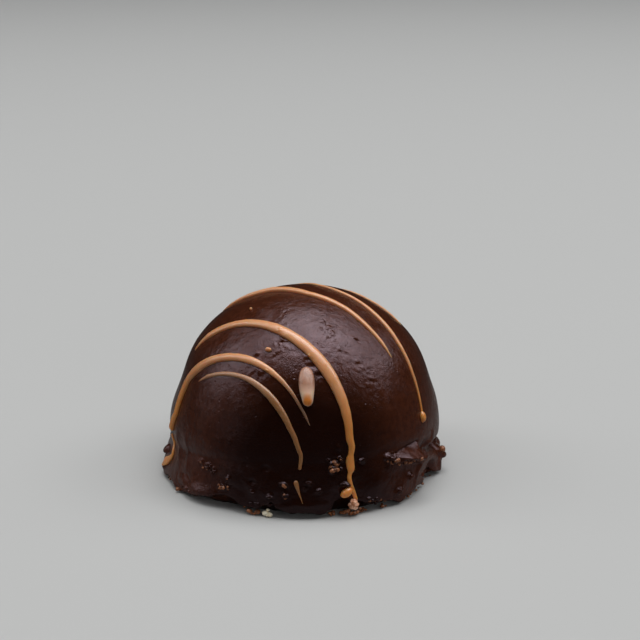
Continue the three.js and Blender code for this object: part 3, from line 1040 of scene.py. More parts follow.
def curve_through(points: Array, step: float) -> Array:
    """Evenly spaced points on a smooth curve through the given ones.

    Args:
        points: The points, one per row.
        step: Distance between the new points.

    Returns:
        The new points.
    """
    padded = np.vstack([2 * points[0] - points[1], points, 2 * points[-1] - points[-2]])
    dense = []
    for i in range(len(points) - 1):
        four = padded[i:i + 4]
        knots = np.concatenate([[0], np.cumsum(np.sqrt(np.linalg.norm(np.diff(four, axis=0), axis=1)))])
        t = np.linspace(knots[1], knots[2], CURVE_SAMPLES, endpoint=False)[:, None]

        def mixed(a: Array, b: Array, low: float, high: float) -> Array:
            """Straight mix of two rows of points between two knots."""
            return ((high - t) * a + (t - low) * b) / (high - low)

        first = [mixed(four[k], four[k + 1], knots[k], knots[k + 1]) for k in range(3)]
        second = [mixed(first[k], first[k + 1], knots[k], knots[k + 2]) for k in range(2)]
        dense.append(mixed(second[0], second[1], knots[1], knots[2]))
    dense = np.vstack([*dense, points[-1:]])
    walked = np.concatenate([[0], np.cumsum(np.linalg.norm(np.diff(dense, axis=0), axis=1))])
    even = np.linspace(0, walked[-1], max(round(walked[-1] / step), LEAST_STEPS) + 1)
    return np.stack([np.interp(even, walked, dense[:, k]) for k in range(3)], axis=1)


def spread_evenly(values: Row, count: int) -> Array:
    """A few values brought straight from one to the next over many places."""
    return np.interp(np.linspace(0, 1, count), np.linspace(0, 1, len(values)), values)


@dataclass(frozen=True)
class Bead:
    """A thickening of a line: its middle as a distance from the line's right-hand end."""

    place: float
    length: float
    width: float


@dataclass(frozen=True)
class IcingLine:
    """A line of icing along a route over the coating."""

    name: str
    widths: tuple[float, ...]
    arch: float = 0.38
    heights: tuple[float, ...] = (1.0, 1.0)
    first_tip: Tip = Tip.ROUND
    last_tip: Tip = Tip.ROUND
    beads: tuple[Bead, ...] = ()
    step: float = 0.3
    section: int = 12
    sunk: float = 0.3
    thin_length: float = 7.0
    thin_start: float = 0.2
    thin_power: float = 0.8
    wobble: float = 0.06
    wobble_size: float = 2.2
    smoothing: int = 5
    roundness: float = 0.75
    underside: Row = (-0.8, 0.0, 0.8)
    least: float = 0.01

    def route(self, form: CoatingForm) -> Array:
        """Unit vectors along the line."""
        raise NotImplementedError

    def tip_share(self, tip: Tip, distance: Array, width: Array) -> Array:
        """How much of its full width a line has near one end.

        Args:
            tip: How the line ends there.
            distance: Distances from that end.
            width: Full widths.

        Returns:
            The share at each distance.
        """
        if tip is Tip.THIN:
            grown = np.clip(distance / self.thin_length, 0, 1) ** self.thin_power
            return self.thin_start + (1 - self.thin_start) * grown
        close = np.clip(1 - distance / np.maximum(0.5 * width, self.least), 0, 1)
        return np.sqrt(np.maximum(1 - close**2, self.least))

    def widths_along(self, form: CoatingForm, places: Array, noise: SmoothNoise) -> Array:
        """Widths with beads, tips and small wobbles.

        Args:
            form: The coating's form.
            places: Unit vectors along the line.
            noise: Source of the wobbles.

        Returns:
            The width at each place.
        """
        gaps = np.linalg.norm(np.diff(places, axis=0), axis=1) * form.radius
        walked = np.concatenate([[0], np.cumsum(gaps)])
        left = walked[-1] - walked
        kernel = np.hanning(2 * self.smoothing + 3)[1:-1]
        padded = np.pad(spread_evenly(self.widths, len(places)), self.smoothing, mode="edge")
        widths = np.convolve(padded, kernel / kernel.sum(), mode="valid")
        widths = widths * (1 + self.wobble * noise.at(places * form.radius, self.wobble_size))
        for bead in self.beads:
            near = np.clip(np.abs(left - bead.place) / (0.5 * bead.length), 0, 1)
            widths = np.maximum(widths, bead.width * np.sqrt(1 - near**2))
        widths = widths * self.tip_share(self.first_tip, walked, widths)
        return widths * self.tip_share(self.last_tip, left, widths)

    def build(self, relief: Relief, noise: SmoothNoise, finish: Material) -> Piece:
        """Makes the line, lying in the coating's surface, in place of its solid.

        Args:
            relief: The coating it lies on.
            noise: Source of its small wobbles.
            finish: The icing.

        Returns:
            The piece.
        """
        places = self.route(relief.form)
        widths = self.widths_along(relief.form, places, noise)
        forward = unit(np.gradient(places, axis=0))
        side = unit(np.cross(forward, places))
        turns = np.linspace(0, math.pi, self.section + 1)
        top = [(math.cos(t), math.sin(t) ** self.roundness) for t in turns]
        under = [(across, -1.0) for across in self.underside]
        arch = self.arch * widths * spread_evenly(self.heights, len(places))
        rows = []
        for across, lift in [*top, *under]:
            aside = places + side * (0.5 * across * widths / relief.form.radius)[:, None]
            raised = arch * lift if lift >= 0 else np.full_like(widths, -self.sunk)
            if lift == 0:
                raised = raised - 0.5 * self.sunk
            rows.append(relief.points(unit(aside), raised))
        rings = np.stack(rows, axis=1)
        ends = rings[[0, -1]].mean(axis=1)
        points = np.concatenate([ends[:1], rings.reshape(-1, 3), ends[1:]])
        faces = closed_faces([rings.shape[1]] * len(places))
        piece = mesh_object(self.name.replace("icing", "piped"), points, faces)
        return dressed(piece, Slot.ICING, finish, self.name)


@dataclass(frozen=True)
class Stroke(IcingLine):
    """A stroke where a nearly upright plane cuts the dome, with a run on down the skirt.

    The plane's normal has the azimuth facing and the elevation lean, and the plane lies at offset from
    the dome's centre. The arc's angles count from its right-hand end (0) over the crest (90) to the left.
    The widths and the wanderings to the side are spread evenly from the left end to the end of the run.
    """

    first_tip: Tip = Tip.THIN
    facing: float = 0.0
    lean: float = 0.0
    offset: float = 0.0
    start: float = 0.0
    stop: float = 180.0
    run: tuple[tuple[float, float], ...] = ()
    wander: tuple[float, ...] = (0.0, 0.0)
    coarse_step: float = 3.8

    def arc(self, form: CoatingForm) -> Array:
        """Where the plane cuts the dome.

        Args:
            form: The coating's form.

        Returns:
            Unit vectors along the arc, left end first.
        """
        normal = direction(np.float64(self.facing), np.float64(self.lean))
        side = unit(np.cross(normal, [0, 0, 1]))
        side = side if side[0] > 0 else -side
        upward = unit(np.cross(side, normal))
        upward = upward if upward[2] > 0 else -upward
        tilt = self.offset / form.radius
        spread = math.sqrt(1 - tilt * tilt)
        length = math.radians(self.stop - self.start) * spread * form.radius
        count = math.ceil(length / self.coarse_step)
        angle = np.radians(np.linspace(self.stop, self.start, count + 1))[:, None]
        return normal * tilt + spread * (side * np.cos(angle) + upward * np.sin(angle))

    def route(self, form: CoatingForm) -> Array:
        """The arc and the run, with their wanderings.

        Args:
            form: The coating's form.

        Returns:
            Unit vectors along the stroke, left end first.
        """
        coarse = self.arc(form)
        if self.run:
            azimuth, height = np.array(self.run).T
            coarse = np.vstack([coarse, form.toward(azimuth, height)])
        places = unit(curve_through(coarse, self.step / form.radius))
        aside = spread_evenly(self.wander, len(places))
        side = unit(np.cross(np.gradient(places, axis=0), places))
        return unit(places + side * (aside / form.radius)[:, None])


@dataclass(frozen=True)
class Trail(IcingLine):
    """A line of icing through places of azimuth and height on the coating."""

    places: tuple[tuple[float, float], ...] = ()

    def route(self, form: CoatingForm) -> Array:
        """Unit vectors along the trail, first place first."""
        azimuth, height = np.array(self.places).T
        return unit(curve_through(form.toward(azimuth, height), self.step / form.radius))


@dataclass
class PipedIcing:
    """All the icing that lies along lines."""

    relief: Relief
    lines: tuple[IcingLine, ...] = (
        Stroke("icing_stroke_1", (1.1, 1.1, 1.3, 1.45, 1.95, 2, 1.5, 1.25, 0.85), facing=-34.4, lean=1.2,
               offset=33.6, start=13, stop=128, run=((-1, 18), (-0.9, 13.9)), thin_length=4,
               wander=(-0.8, -0.4, -0.35, -0.4, -0.1, 0.2, 0.35, -0.3, 0.3)),
        Stroke("icing_stroke_2", (2.8, 2.2, 2.7, 2.6, 2.9, 2.5, 2.35, 2.25, 2, 1.5, 1.05, 0.75, 0.7),
               facing=-33.8, lean=5.8, offset=32.3, start=21, stop=186, first_tip=Tip.ROUND,
               last_tip=Tip.THIN, thin_length=3,
               wander=(-3.2, -0.1, -0.6, -1.2, -0.45, -0.15, 0, 0, 0, 0, -0.1, -0.25, -1)),
        Stroke("icing_stroke_3", (1.9, 2.3, 2.35, 2.8, 3.2, 3.5, 3.4, 2.8, 2.1, 1.25, 1.05), facing=-33.4,
               lean=6.8, offset=24.6, start=9, stop=138, beads=(Bead(20.5, 9, 2.2), Bead(10.6, 6, 2.4)),
               run=((19.8, 19.5), (18.9, 15.9), (18.9, 13.4), (18.2, 11.2), (18.8, 9.2), (20.4, 5.9),
                    (21, 4.4)),
               wander=(1.1, 0.7, 0.2, 0.05, 0.15, 0.1, 0.1, 0.05, 0.2, 0.15, 0.3)),
        Stroke("icing_stroke_4", (1, 1.3, 1.9, 2.2, 2.1, 1.9, 1.9, 1.7, 1.45, 1.2, 0.8), facing=-29.7,
               lean=-0.4, offset=3.8, start=39, stop=130, last_tip=Tip.THIN, arch=0.5, thin_length=4,
               wander=(0, 0.2, 0.2, -0.8, -0.7, -0.2, -0.6, -0.8, -0.3, 0.1, 0.5)),
        Stroke("icing_stroke_5", (1, 1.4, 1.3, 1.1, 0.9, 0.9, 1.1, 1.2, 1.4, 1.3, 1.1, 0.75, 0.55),
               facing=-34.6, lean=9.9, offset=-0.7, start=9.4, stop=148, beads=(Bead(1.6, 3.3, 2.1),),
               arch=0.5, heights=(0.8, 0.7, 0.4, 0.3, 0.7, 1, 1, 1, 1, 1, 1),
               wander=(-0.5, -1, -1.5, -2.7, -2.6, 0.3, 0.9, 0.5, 0.65, 0.75, 0.3, -0.25, -0.55)),
        Stroke("icing_stroke_6", (2, 1.5, 1.9, 1.6, 1.3, 1.2, 1.1, 1, 0.8), facing=-34.5, lean=10,
               offset=-10, start=54, stop=161, first_tip=Tip.ROUND, last_tip=Tip.THIN, thin_length=2.5,
               heights=(1, 1, 1, 1, 0.8, 0.4, 0.4, 0.8, 1, 1),
               wander=(0, 0, -0.3, -0.5, -0.8, -1, -0.6, -1.6, -1.9)),
        Stroke("icing_stroke_7", (0.7, 1.4, 2, 2.3, 2.1, 1.6, 1.2), facing=-33.5, lean=7, offset=-21.5,
               start=66, stop=150, last_tip=Tip.THIN, thin_length=4),
        Stroke("icing_stroke_8", (0.8, 1.4, 1.9, 2.2, 2.5, 2.2), facing=-35, lean=5, offset=-29.5,
               start=10, stop=150),
        Stroke("icing_stroke_9", (0.6, 1.2, 1.5, 1.2, 0.6), facing=-34.5, lean=3, offset=-34.4, start=38,
               stop=132, last_tip=Tip.THIN),
        Trail("icing_dash", (1.3, 1.6, 1.1, 0.8, 0.5), places=((-3, 11), (-1.8, 8), (-0.2, 4.8)),
              last_tip=Tip.THIN),
        Trail("icing_side_run", (0.8, 0.9, 1.0, 1.2, 1.9, 2.4, 2.2), arch=0.45,
              places=((-74, 13.4), (-72, 10.6), (-69.8, 8.2), (-73.4, 5.5), (-78.5, 3.8))),
        Trail("icing_drop", (2.2, 3.4, 4.2, 4.5, 4.4, 4.1, 3.5, 2.9, 2.5), arch=0.46, wobble=0.0,
              places=((1.55, 40.2), (1.75, 35), (2.2, 30.8)),
              heights=(0.35, 0.5, 0.6, 0.72, 0.85, 1, 1.2, 1.3, 1.2)),
    )

    def build(self, usual: Material, own: dict[str, Material]) -> None:
        """Makes every line, in the usual finish or its own.

        Args:
            usual: The icing's finish.
            own: Other finishes, by the line's name.
        """
        noise = SmoothNoise(Seed.ICING)
        for line in self.lines:
            line.build(self.relief, noise, own.get(line.name, usual))


# ---- Pebbles, crumbs and the biscuit disc ----


def turned(points: Array, degrees: float, axes: tuple[int, int]) -> Array:
    """Points turned in the plane of two axes.

    Args:
        points: The points, one per row.
        degrees: How far they turn, from the first axis towards the second.
        axes: Numbers of the two axes.

    Returns:
        The new points.
    """
    a, turn = math.radians(degrees), np.eye(3)
    turn[np.ix_(axes, axes)] = [[math.cos(a), math.sin(a)], [-math.sin(a), math.cos(a)]]
    return points @ turn


@dataclass(frozen=True)
class Pebble:
    """One small body: its middle, its half sizes across, outward and up, its azimuth and its tilt."""

    middle: Triple
    half: Triple
    azimuth: float
    detail: int = 3
    cuts: int = 9
    rough: float = 0.1
    tilt: float = 0.0

    cut_depths = (0.62, 0.95)
    cut_share = 0.9
    rough_waves = ((1.0, 0.8, 0), (0.5, 0.35, 0))

    def mesh(self, rng: Random, noise: SmoothNoise) -> tuple[Array, Faces]:
        """Points and faces of a broken, slightly rough pebble.

        Args:
            rng: Source of the seeded draws for its flat breaks.
            noise: Source of its roughness.

        Returns:
            Points in millimetres and the faces.
        """
        shape = bmesh.new()
        bmesh.ops.create_icosphere(shape, subdivisions=self.detail, radius=1)
        points = np.array([v.co for v in shape.verts])
        faces = [tuple(v.index for v in f.verts) for f in shape.faces]
        shape.free()
        for _ in range(self.cuts):
            normal = unit(rng.normal(size=3))
            beyond = np.maximum(points @ normal - rng.uniform(*self.cut_depths), 0)
            points = points - beyond[:, None] * normal * self.cut_share
        bumps = noise.waves(points + rng.uniform(0, 99, 3), self.rough_waves)
        points = points * (1 + self.rough * bumps)[:, None] * self.half
        return turned(turned(points, self.tilt, (0, 2)), self.azimuth, (0, 1)) + self.middle, faces


def joined_pebbles(name: str, pebbles: list[Pebble], seed: int) -> Piece:
    """One mesh object that holds many pebbles.

    Args:
        name: The piece's name.
        pebbles: What it holds.
        seed: Seed of their breaks and their roughness.

    Returns:
        The object.
    """
    rng, noise = np.random.default_rng(seed), SmoothNoise(seed)
    points, faces, before = [], [], 0
    for pebble in pebbles:
        some, flat = pebble.mesh(rng, noise)
        points.append(some)
        faces += [tuple(i + before for i in face) for face in flat]
        before += len(some)
    together = np.concatenate(points)
    together[:, 2] = np.maximum(together[:, 2], RESTING_HEIGHT)
    return mesh_object(name, together, faces)


@dataclass(frozen=True)
class CrumbKind:
    """Crumbs of one kind that gather at places on the coating.

    Rows have an azimuth, a height, a spread across and up, a count and a size. Radii lie between two
    shares of the size. The shape's outward and up parts are shares of the radius, and so is out, which is
    how far their middles lie outside the coating.
    """

    seed: Seed
    rows: tuple[Row, ...]
    radii: tuple[float, float]
    shape: tuple[float, float]
    out: float
    stretch: tuple[float, float] | None = None
    cuts: int = 9
    rough: float = 0.1


@dataclass
class Crumbs:
    """Biscuit crumbs on the skirt and at the hem, and the pebbles of icing.

    Rows of crumbs at the hem have an azimuth, a distance inside the hem, a height, a size and a fineness.
    """

    relief: Relief
    finishes: dict[str, Material]
    poking: CrumbKind = CrumbKind(Seed.POKING_CRUMBS, (
        (14.6, 16.9, 0.8, 0.7, 3, 0.55), (12.4, 14.3, 1.1, 1.5, 12, 0.65), (37.2, 13.7, 1.6, 0.5, 6, 0.55),
        (45, 12.1, 4.5, 0.25, 10, 0.5), (-41, 10.6, 3.0, 0.9, 4, 0.45), (-32.3, 6.4, 1.8, 0.8, 9, 0.45),
        (-7.4, 9.8, 0.8, 0.3, 2, 0.5), (-7, 7.2, 0.3, 0.8, 2, 0.45), (-30.3, 9.7, 0.1, 0.1, 1, 0.5),
        (82, 4.6, 0.8, 0.8, 2, 0.4), (120, 5, 6, 2.2, 8, 0.5), (200, 5, 14, 2.4, 16, 0.5),
    ), radii=(0.6, 1.3), shape=(0.8, 0.9), out=0.1)
    coated: CrumbKind = CrumbKind(Seed.COATED_CRUMBS, (
        (14.7, 17.0, 1.2, 1.0, 3, 0.7), (12.6, 14.8, 1.5, 1.8, 6, 0.8), (23.7, 15.2, 0.6, 0.6, 2, 0.8),
        (-8, 10.0, 1.0, 0.5, 4, 0.65), (-7, 7.4, 0.4, 0.9, 3, 0.6), (-12.6, 6.5, 0.8, 0.4, 2, 0.8),
        (-19.8, 6.8, 0.3, 0.3, 1, 0.8), (2.4, 10.4, 0.4, 0.4, 2, 0.8), (6, 8.3, 0.7, 0.6, 3, 0.75),
        (-30.3, 9.6, 0.2, 0.2, 1, 0.85), (-42, 11.2, 2.8, 0.7, 9, 0.6), (-38, 10.2, 2.0, 0.8, 7, 0.6),
        (-32.3, 6.6, 2.0, 1.1, 8, 0.55), (15.8, 9.6, 1.1, 0.4, 3, 0.8), (36.2, 14.5, 1.0, 0.5, 4, 0.85),
        (45, 11.9, 4.0, 0.25, 4, 0.5), (46.4, 7.3, 0.5, 0.5, 2, 0.95), (40, 4.4, 1.0, 0.4, 2, 0.9),
        (-17, 3.0, 3.0, 0.8, 5, 0.7), (29, 3.4, 6.0, 0.8, 6, 0.7), (-50, 2.6, 5.0, 0.6, 6, 0.8),
        (60, 4.5, 2.0, 1.6, 4, 0.7), (112, 6, 4, 2.2, 9, 0.8), (133, 5, 5, 2.0, 9, 0.8),
        (160, 6, 5, 2.2, 9, 0.8), (188, 5, 6, 2.2, 10, 0.8), (214, 6, 5, 2.2, 9, 0.8),
        (238, 5, 5, 2.0, 9, 0.8), (257, 4.4, 3, 1.2, 6, 0.7),
    ), radii=(0.55, 1.25), shape=(0.75, 0.8), out=-0.2, stretch=(0.9, 1.3), cuts=4, rough=0.16)
    hem_rows: tuple[Row, ...] = (
        (-21.3, 0.5, 1.0, 0.85, 4), (-20.2, 0.4, 0.45, 0.5, 3), (-18.1, 0.8, 0.95, 0.9, 4),
        (-19.2, 0.3, 0.4, 0.45, 3), (-23.4, 0.4, 2.0, 0.35, 3), (-57.6, -0.3, 0.9, 0.8, 3),
        (10.4, 1.2, 0.9, 0.5, 3), (11.8, 1.3, 0.9, 0.7, 3), (14.9, 0.9, 0.7, 0.6, 3),
        (16.2, 0.6, 0.9, 0.85, 3), (17.5, 0.3, 1.3, 0.85, 3), (18.3, -0.2, 0.6, 0.7, 3),
        (19.6, -0.2, 0.8, 0.8, 3), (21.1, 0.1, 0.8, 0.7, 3), (22.2, 0.3, 1.6, 0.55, 3),
        (26.4, 0.4, 3.4, 0.7, 3), (31.2, 0.5, 3.0, 0.6, 3), (33.5, 0.5, 2.4, 0.5, 3),
        (28.8, 0.6, 3.0, 0.5, 3),
    )
    pale_rows: tuple[Row, ...] = (
        (-14.6, 0.3, 0.95, 1.0, 4), (-12.9, 0.1, 0.7, 0.85, 4), (-13.7, 0.5, 1.9, 0.6, 3),
        (-13.6, 0.0, 0.6, 0.75, 4), (133, 0.2, 0.6, 0.65, 3), (134.6, 0.2, 0.6, 0.65, 3),
        (231, 0.2, 0.6, 0.65, 3),
    )
    foot_shape: Triple = (1.0, 0.85, 0.75)
    small_hem_crumbs: int = 120

    def on_coating(self, azimuth: float, height: float, half: Triple, outside: float,
                   **shape: float) -> Pebble:
        """A pebble at a place on the coating.

        Args:
            azimuth: The place's azimuth.
            height: Its height above the ground.
            half: Half sizes across, outward and up.
            outside: How far its middle lies outside the coating.
            **shape: The pebble's other fields.

        Returns:
            The pebble.
        """
        toward = self.relief.form.toward(np.array([azimuth]), np.array([height]))
        middle = self.relief.points(toward, outside)[0]
        return Pebble(tuple(middle), half, azimuth, **shape)

    def at_foot(self, azimuth: float, inside: float, height: float, size: float, detail: int) -> Pebble:
        """A crumb at the cake's foot.

        Args:
            azimuth: Its azimuth.
            inside: Its distance inside the hem.
            height: Its middle's height above the ground.
            size: Half its width.
            detail: How fine its mesh is.

        Returns:
            The crumb.
        """
        hem = float(self.relief.form.hem_edge(np.array([azimuth % TURN]))[0][0])
        middle = direction(np.float64(azimuth), np.float64(0)) * (hem - inside)
        middle[2] = height
        return Pebble(tuple(middle), tuple(size * part for part in self.foot_shape), azimuth, detail=detail)

    def gathered(self, kind: CrumbKind) -> list[Pebble]:
        """Crumbs of one kind, where they gather.

        Args:
            kind: The kind.

        Returns:
            The crumbs.
        """
        rng = np.random.default_rng(kind.seed)
        crumbs = []
        for azimuth, height, across, tall, count, size in kind.rows:
            for _ in range(count):
                u, v = rng.normal(0, SCATTER, 2)
                radius = size * rng.uniform(*kind.radii)
                stretch = rng.uniform(*kind.stretch) if kind.stretch else 1.0
                half = tuple(radius * part for part in (stretch, *kind.shape))
                place = azimuth + math.degrees(u * across / SKIRT_RADIUS)
                crumbs.append(self.on_coating(place, height + v * tall, half, kind.out * radius,
                                              cuts=kind.cuts, rough=kind.rough))
        return crumbs

    def hem_crumbs(self) -> list[Pebble]:
        """Brown crumbs under and at the hem.

        Returns:
            The crumbs.
        """
        rng = np.random.default_rng(Seed.HEM_CRUMBS)
        crumbs = [self.at_foot(*row) for row in self.hem_rows]
        for _ in range(self.small_hem_crumbs):
            azimuth = rng.uniform(9, 300)
            size = rng.uniform(0.25, 0.7)
            height = rng.uniform(0.6, 1.6) * size
            crumbs.append(self.at_foot(azimuth, rng.uniform(0.7, 2.4), height, size, detail=2))
        return crumbs

    def build(self) -> None:
        """Makes the crumbs and the pebbles of icing."""
        tan = self.on_coating(19.1, 4.1, (1.35, 1.3, 1.35), 1.5, detail=4, cuts=5, rough=0.4)
        ball = self.on_coating(16.5, 7.3, (1.85, 1.2, 1.2), 0.8, detail=4, cuts=0, rough=0.04, tilt=33)
        beside = self.on_coating(80.5, 7.1, (1.15, 1.0, 1.15), 0.1, detail=4, cuts=1, rough=0.03)
        specks = [self.on_coating(-20.7, 43.4, (0.95, 0.5, 0.68), 0.25, cuts=0),
                  self.on_coating(-60.6, 50.1, (0.42, 0.4, 0.42), 0.25, cuts=0)]
        pale = [self.at_foot(*row) for row in self.pale_rows]
        for name, pebbles, seed, slot, finish, nodes in (
            ("large_tan_crumb", [tan], 51, Slot.BISCUIT, "tan", ["biscuit_crumb"]),
            ("icing_blob", [ball], 53, Slot.ICING, "icing", ["icing_ball"]),
            ("poking_crumbs", [*self.gathered(self.poking), beside], 55, Slot.BISCUIT, "brown", []),
            ("coated_crumbs", self.gathered(self.coated), 67, Slot.GLAZE, "glaze", []),
            ("hem_crumbs", self.hem_crumbs(), 57, Slot.BISCUIT, "brown", []),
            ("pale_crumbs", pale, 59, Slot.BISCUIT, "pale", []),
            ("icing_specks", specks, 61, Slot.ICING, "icing", []),
        ):
            dressed(joined_pebbles(name, pebbles, seed), slot, self.finishes[finish], *nodes)


@dataclass
class BiscuitDisc:
    """The thin biscuit disc that carries the cake."""

    radius: float = 35.6
    thickness: float = 3.0
    columns: int = 360
    side_rows: int = 10
    rounding: float = 0.7
    least_bite: float = 0.4
    bites: tuple[Row, ...] = ((0.5, 1.5, 0), (0.25, 0.7, 0))
    inner_radius: float = 20.0
    noise: SmoothNoise = field(default_factory=lambda: SmoothNoise(Seed.DISC))

    def build(self, finish: Material) -> Piece:
        """Makes the disc with its crumbly side.

        Args:
            finish: The biscuit.

        Returns:
            The piece.
        """
        azimuth = np.arange(self.columns) * TURN / self.columns
        around = direction(azimuth, 0 * azimuth)
        rings = []
        for row in range(self.side_rows + 1):
            turn = math.pi * row / self.side_rows
            ring = around * (self.radius - self.rounding * (1 - math.sin(turn)) ** 2)
            ring[:, 2] = self.thickness * (1 + math.cos(turn)) / 2
            bite = self.least_bite + self.noise.waves(ring, self.bites)
            ring[:, :2] -= around[:, :2] * bite[:, None] * math.sin(turn)
            rings.append(ring)
        inner = around[::2] * self.inner_radius
        top = [0, 0, self.thickness]
        points = np.concatenate([[top], inner + top, *rings, inner, [[0, 0, 0]]])
        counts = [len(inner), *[len(r) for r in rings], len(inner)]
        piece = mesh_object("biscuit_disc", points, closed_faces(counts))
        return dressed(piece, Slot.BISCUIT, finish, "biscuit_base")


# ---- Finishes ----


def opaque(colour: Colour) -> tuple[float, float, float, float]:
    """The colour with full alpha."""
    return (*colour, 1.0)


class NodeBench:
    """Adds nodes to a tree, sets their inputs and links them."""

    def __init__(self, tree: bpy.types.NodeTree) -> None:
        """Takes the tree to work in."""
        self.tree = tree

    def add(self, kind: str, inputs: dict | None = None, **settings: object) -> bpy.types.Node:
        """Adds a node.

        Args:
            kind: The node's type, without its usual prefix.
            inputs: Values or sockets by input name or number.
            **settings: The node's own properties.

        Returns:
            The node.
        """
        node = self.tree.nodes.new("ShaderNode" + kind)
        for name, value in settings.items():
            setattr(node, name, value)
        for name, value in (inputs or {}).items():
            if isinstance(value, Socket):
                self.tree.links.new(value, node.inputs[name])
            else:
                node.inputs[name].default_value = value
        return node

    def math(self, operation: str, first: object, second: object = 0.0) -> Socket:
        """Result of a calculation with one or two values."""
        return self.add("Math", {0: first, 1: second}, operation=operation).outputs[0]

    def noise(self, vector: Socket, size: object, detail: float = 2.0,
              roughness: float = 0.5) -> Socket:
        """Noise whose features have a size in millimetres.

        Args:
            vector: Place, in millimetres.
            size: The features' size.
            detail: How many finer layers it has.
            roughness: How strong they are.

        Returns:
            The noise, round 0.5.
        """
        scale = self.math("DIVIDE", 1.0, size)
        inputs = {"Vector": vector, "Scale": scale, "Detail": detail, "Roughness": roughness}
        return self.add("TexNoise", inputs).outputs["Fac"]

    def range(self, value: Socket, low: object, high: object, new_low: float = 0.0,
              new_high: float = 1.0) -> Socket:
        """A value brought from one range to another, and held there.

        Args:
            value: The value.
            low: Where its range starts.
            high: Where its range ends.
            new_low: Where the new range starts.
            new_high: Where the new range ends.

        Returns:
            The new value.
        """
        return self.add("MapRange", {"Value": value, "From Min": low, "From Max": high,
                                     "To Min": new_low, "To Max": new_high}).outputs["Result"]

    def mix(self, share: object, first: object, second: object) -> Socket:
        """A mix of two colours, all first at share 0 and all second at share 1."""
        return self.add("Mix", {0: share, 6: first, 7: second}, data_type="RGBA").outputs[2]


def new_group(name: str, inputs: dict[str, object],
              outputs: dict[str, str]) -> tuple[NodeBench, dict, dict]:
    """An empty shader group.

    Args:
        name: The group's name.
        inputs: Default values by socket name: None for a vector, a tuple for a colour, or a number.
        outputs: Socket kinds by name.

    Returns:
        Its bench, its input sockets by name, and its output node's sockets by name.
    """
    tree = bpy.data.node_groups.new(name, "ShaderNodeTree")
    for label, default in inputs.items():
        kind = {type(None): "Vector", tuple: "Color"}.get(type(default), "Float")
        socket = tree.interface.new_socket(name=label, in_out="INPUT", socket_type="NodeSocket" + kind)
        if default is not None:
            socket.default_value = default
    for label, kind in outputs.items():
        tree.interface.new_socket(name=label, in_out="OUTPUT", socket_type="NodeSocket" + kind)
    source, target = tree.nodes.new("NodeGroupInput"), tree.nodes.new("NodeGroupOutput")
    return NodeBench(tree), dict(source.outputs.items()), dict(target.inputs.items())


class SharedEffects:
    """The shader groups that the finishes share."""

    noise_middle = 0.5
    patch_noise = (4.0, 0.6)  # how many finer layers, and how strong they are
    fine_noise = (3.0, 0.6)
    calm_size = 6.0
    calm_ranges = (0.4, 0.65, 0.45, 1.0)
    pit_edge = (0.28, 0.1)

    def __init__(self) -> None:
        """Builds each group once."""
        self.mottle = self.build_mottle()
        self.grain = self.build_grain()

    def build_mottle(self) -> bpy.types.NodeTree:
        """Two colours that change over in soft patches.

        Returns:
            The group.
        """
        inputs = {"Place": None, "Colour A": (0.1, 0.1, 0.1, 1.0), "Colour B": (0.2, 0.2, 0.2, 1.0),
                  "Patch Size": 4.0, "Softness": 0.15}
        bench, source, target = new_group("colour_mottle", inputs, {"Colour": "Color"})
        patches = bench.noise(source["Place"], source["Patch Size"], *self.patch_noise)
        low = bench.math("SUBTRACT", self.noise_middle, source["Softness"])
        high = bench.math("ADD", self.noise_middle, source["Softness"])
        colour = bench.mix(bench.range(patches, low, high), source["Colour A"], source["Colour B"])
        bench.tree.links.new(colour, target["Colour"])
        return bench.tree

    def build_grain(self) -> bpy.types.NodeTree:
        """Fine grain, ripples and small pits, as heights in millimetres.

        Returns:
            The group.
        """
        inputs = {"Place": None, "Grain Size": 0.5, "Grain Height": 0.02, "Ripple Size": 2.0,
                  "Ripple Height": 0.0, "Pit Size": 1.2, "Pit Depth": 0.04, "Pit Share": 0.1}
        bench, source, target = new_group("fine_grain", inputs, {"Height": "Float"})
        grain = bench.noise(source["Place"], source["Grain Size"], *self.fine_noise)
        patches = bench.range(bench.noise(source["Place"], self.calm_size, 1.0), *self.calm_ranges)
        fine = bench.math("MULTIPLY", bench.math("MULTIPLY", grain, source["Grain Height"]), patches)
        ripple = bench.noise(source["Place"], source["Ripple Size"])
        raised = bench.math("ADD", fine, bench.math("MULTIPLY", ripple, source["Ripple Height"]))
        scale = bench.math("DIVIDE", 1.0, source["Pit Size"])
        cells = bench.add("TexVoronoi", {"Vector": source["Place"], "Scale": scale})
        centre = bench.range(cells.outputs["Distance"], *self.pit_edge)
        chosen = bench.add("SeparateColor", {"Color": cells.outputs["Color"]}).outputs[0]
        kept = bench.math("LESS_THAN", chosen, source["Pit Share"])
        sunk = bench.math("MULTIPLY", bench.math("MULTIPLY", centre, kept), source["Pit Depth"])
        bench.tree.links.new(bench.math("SUBTRACT", raised, sunk), target["Height"])
        return bench.tree


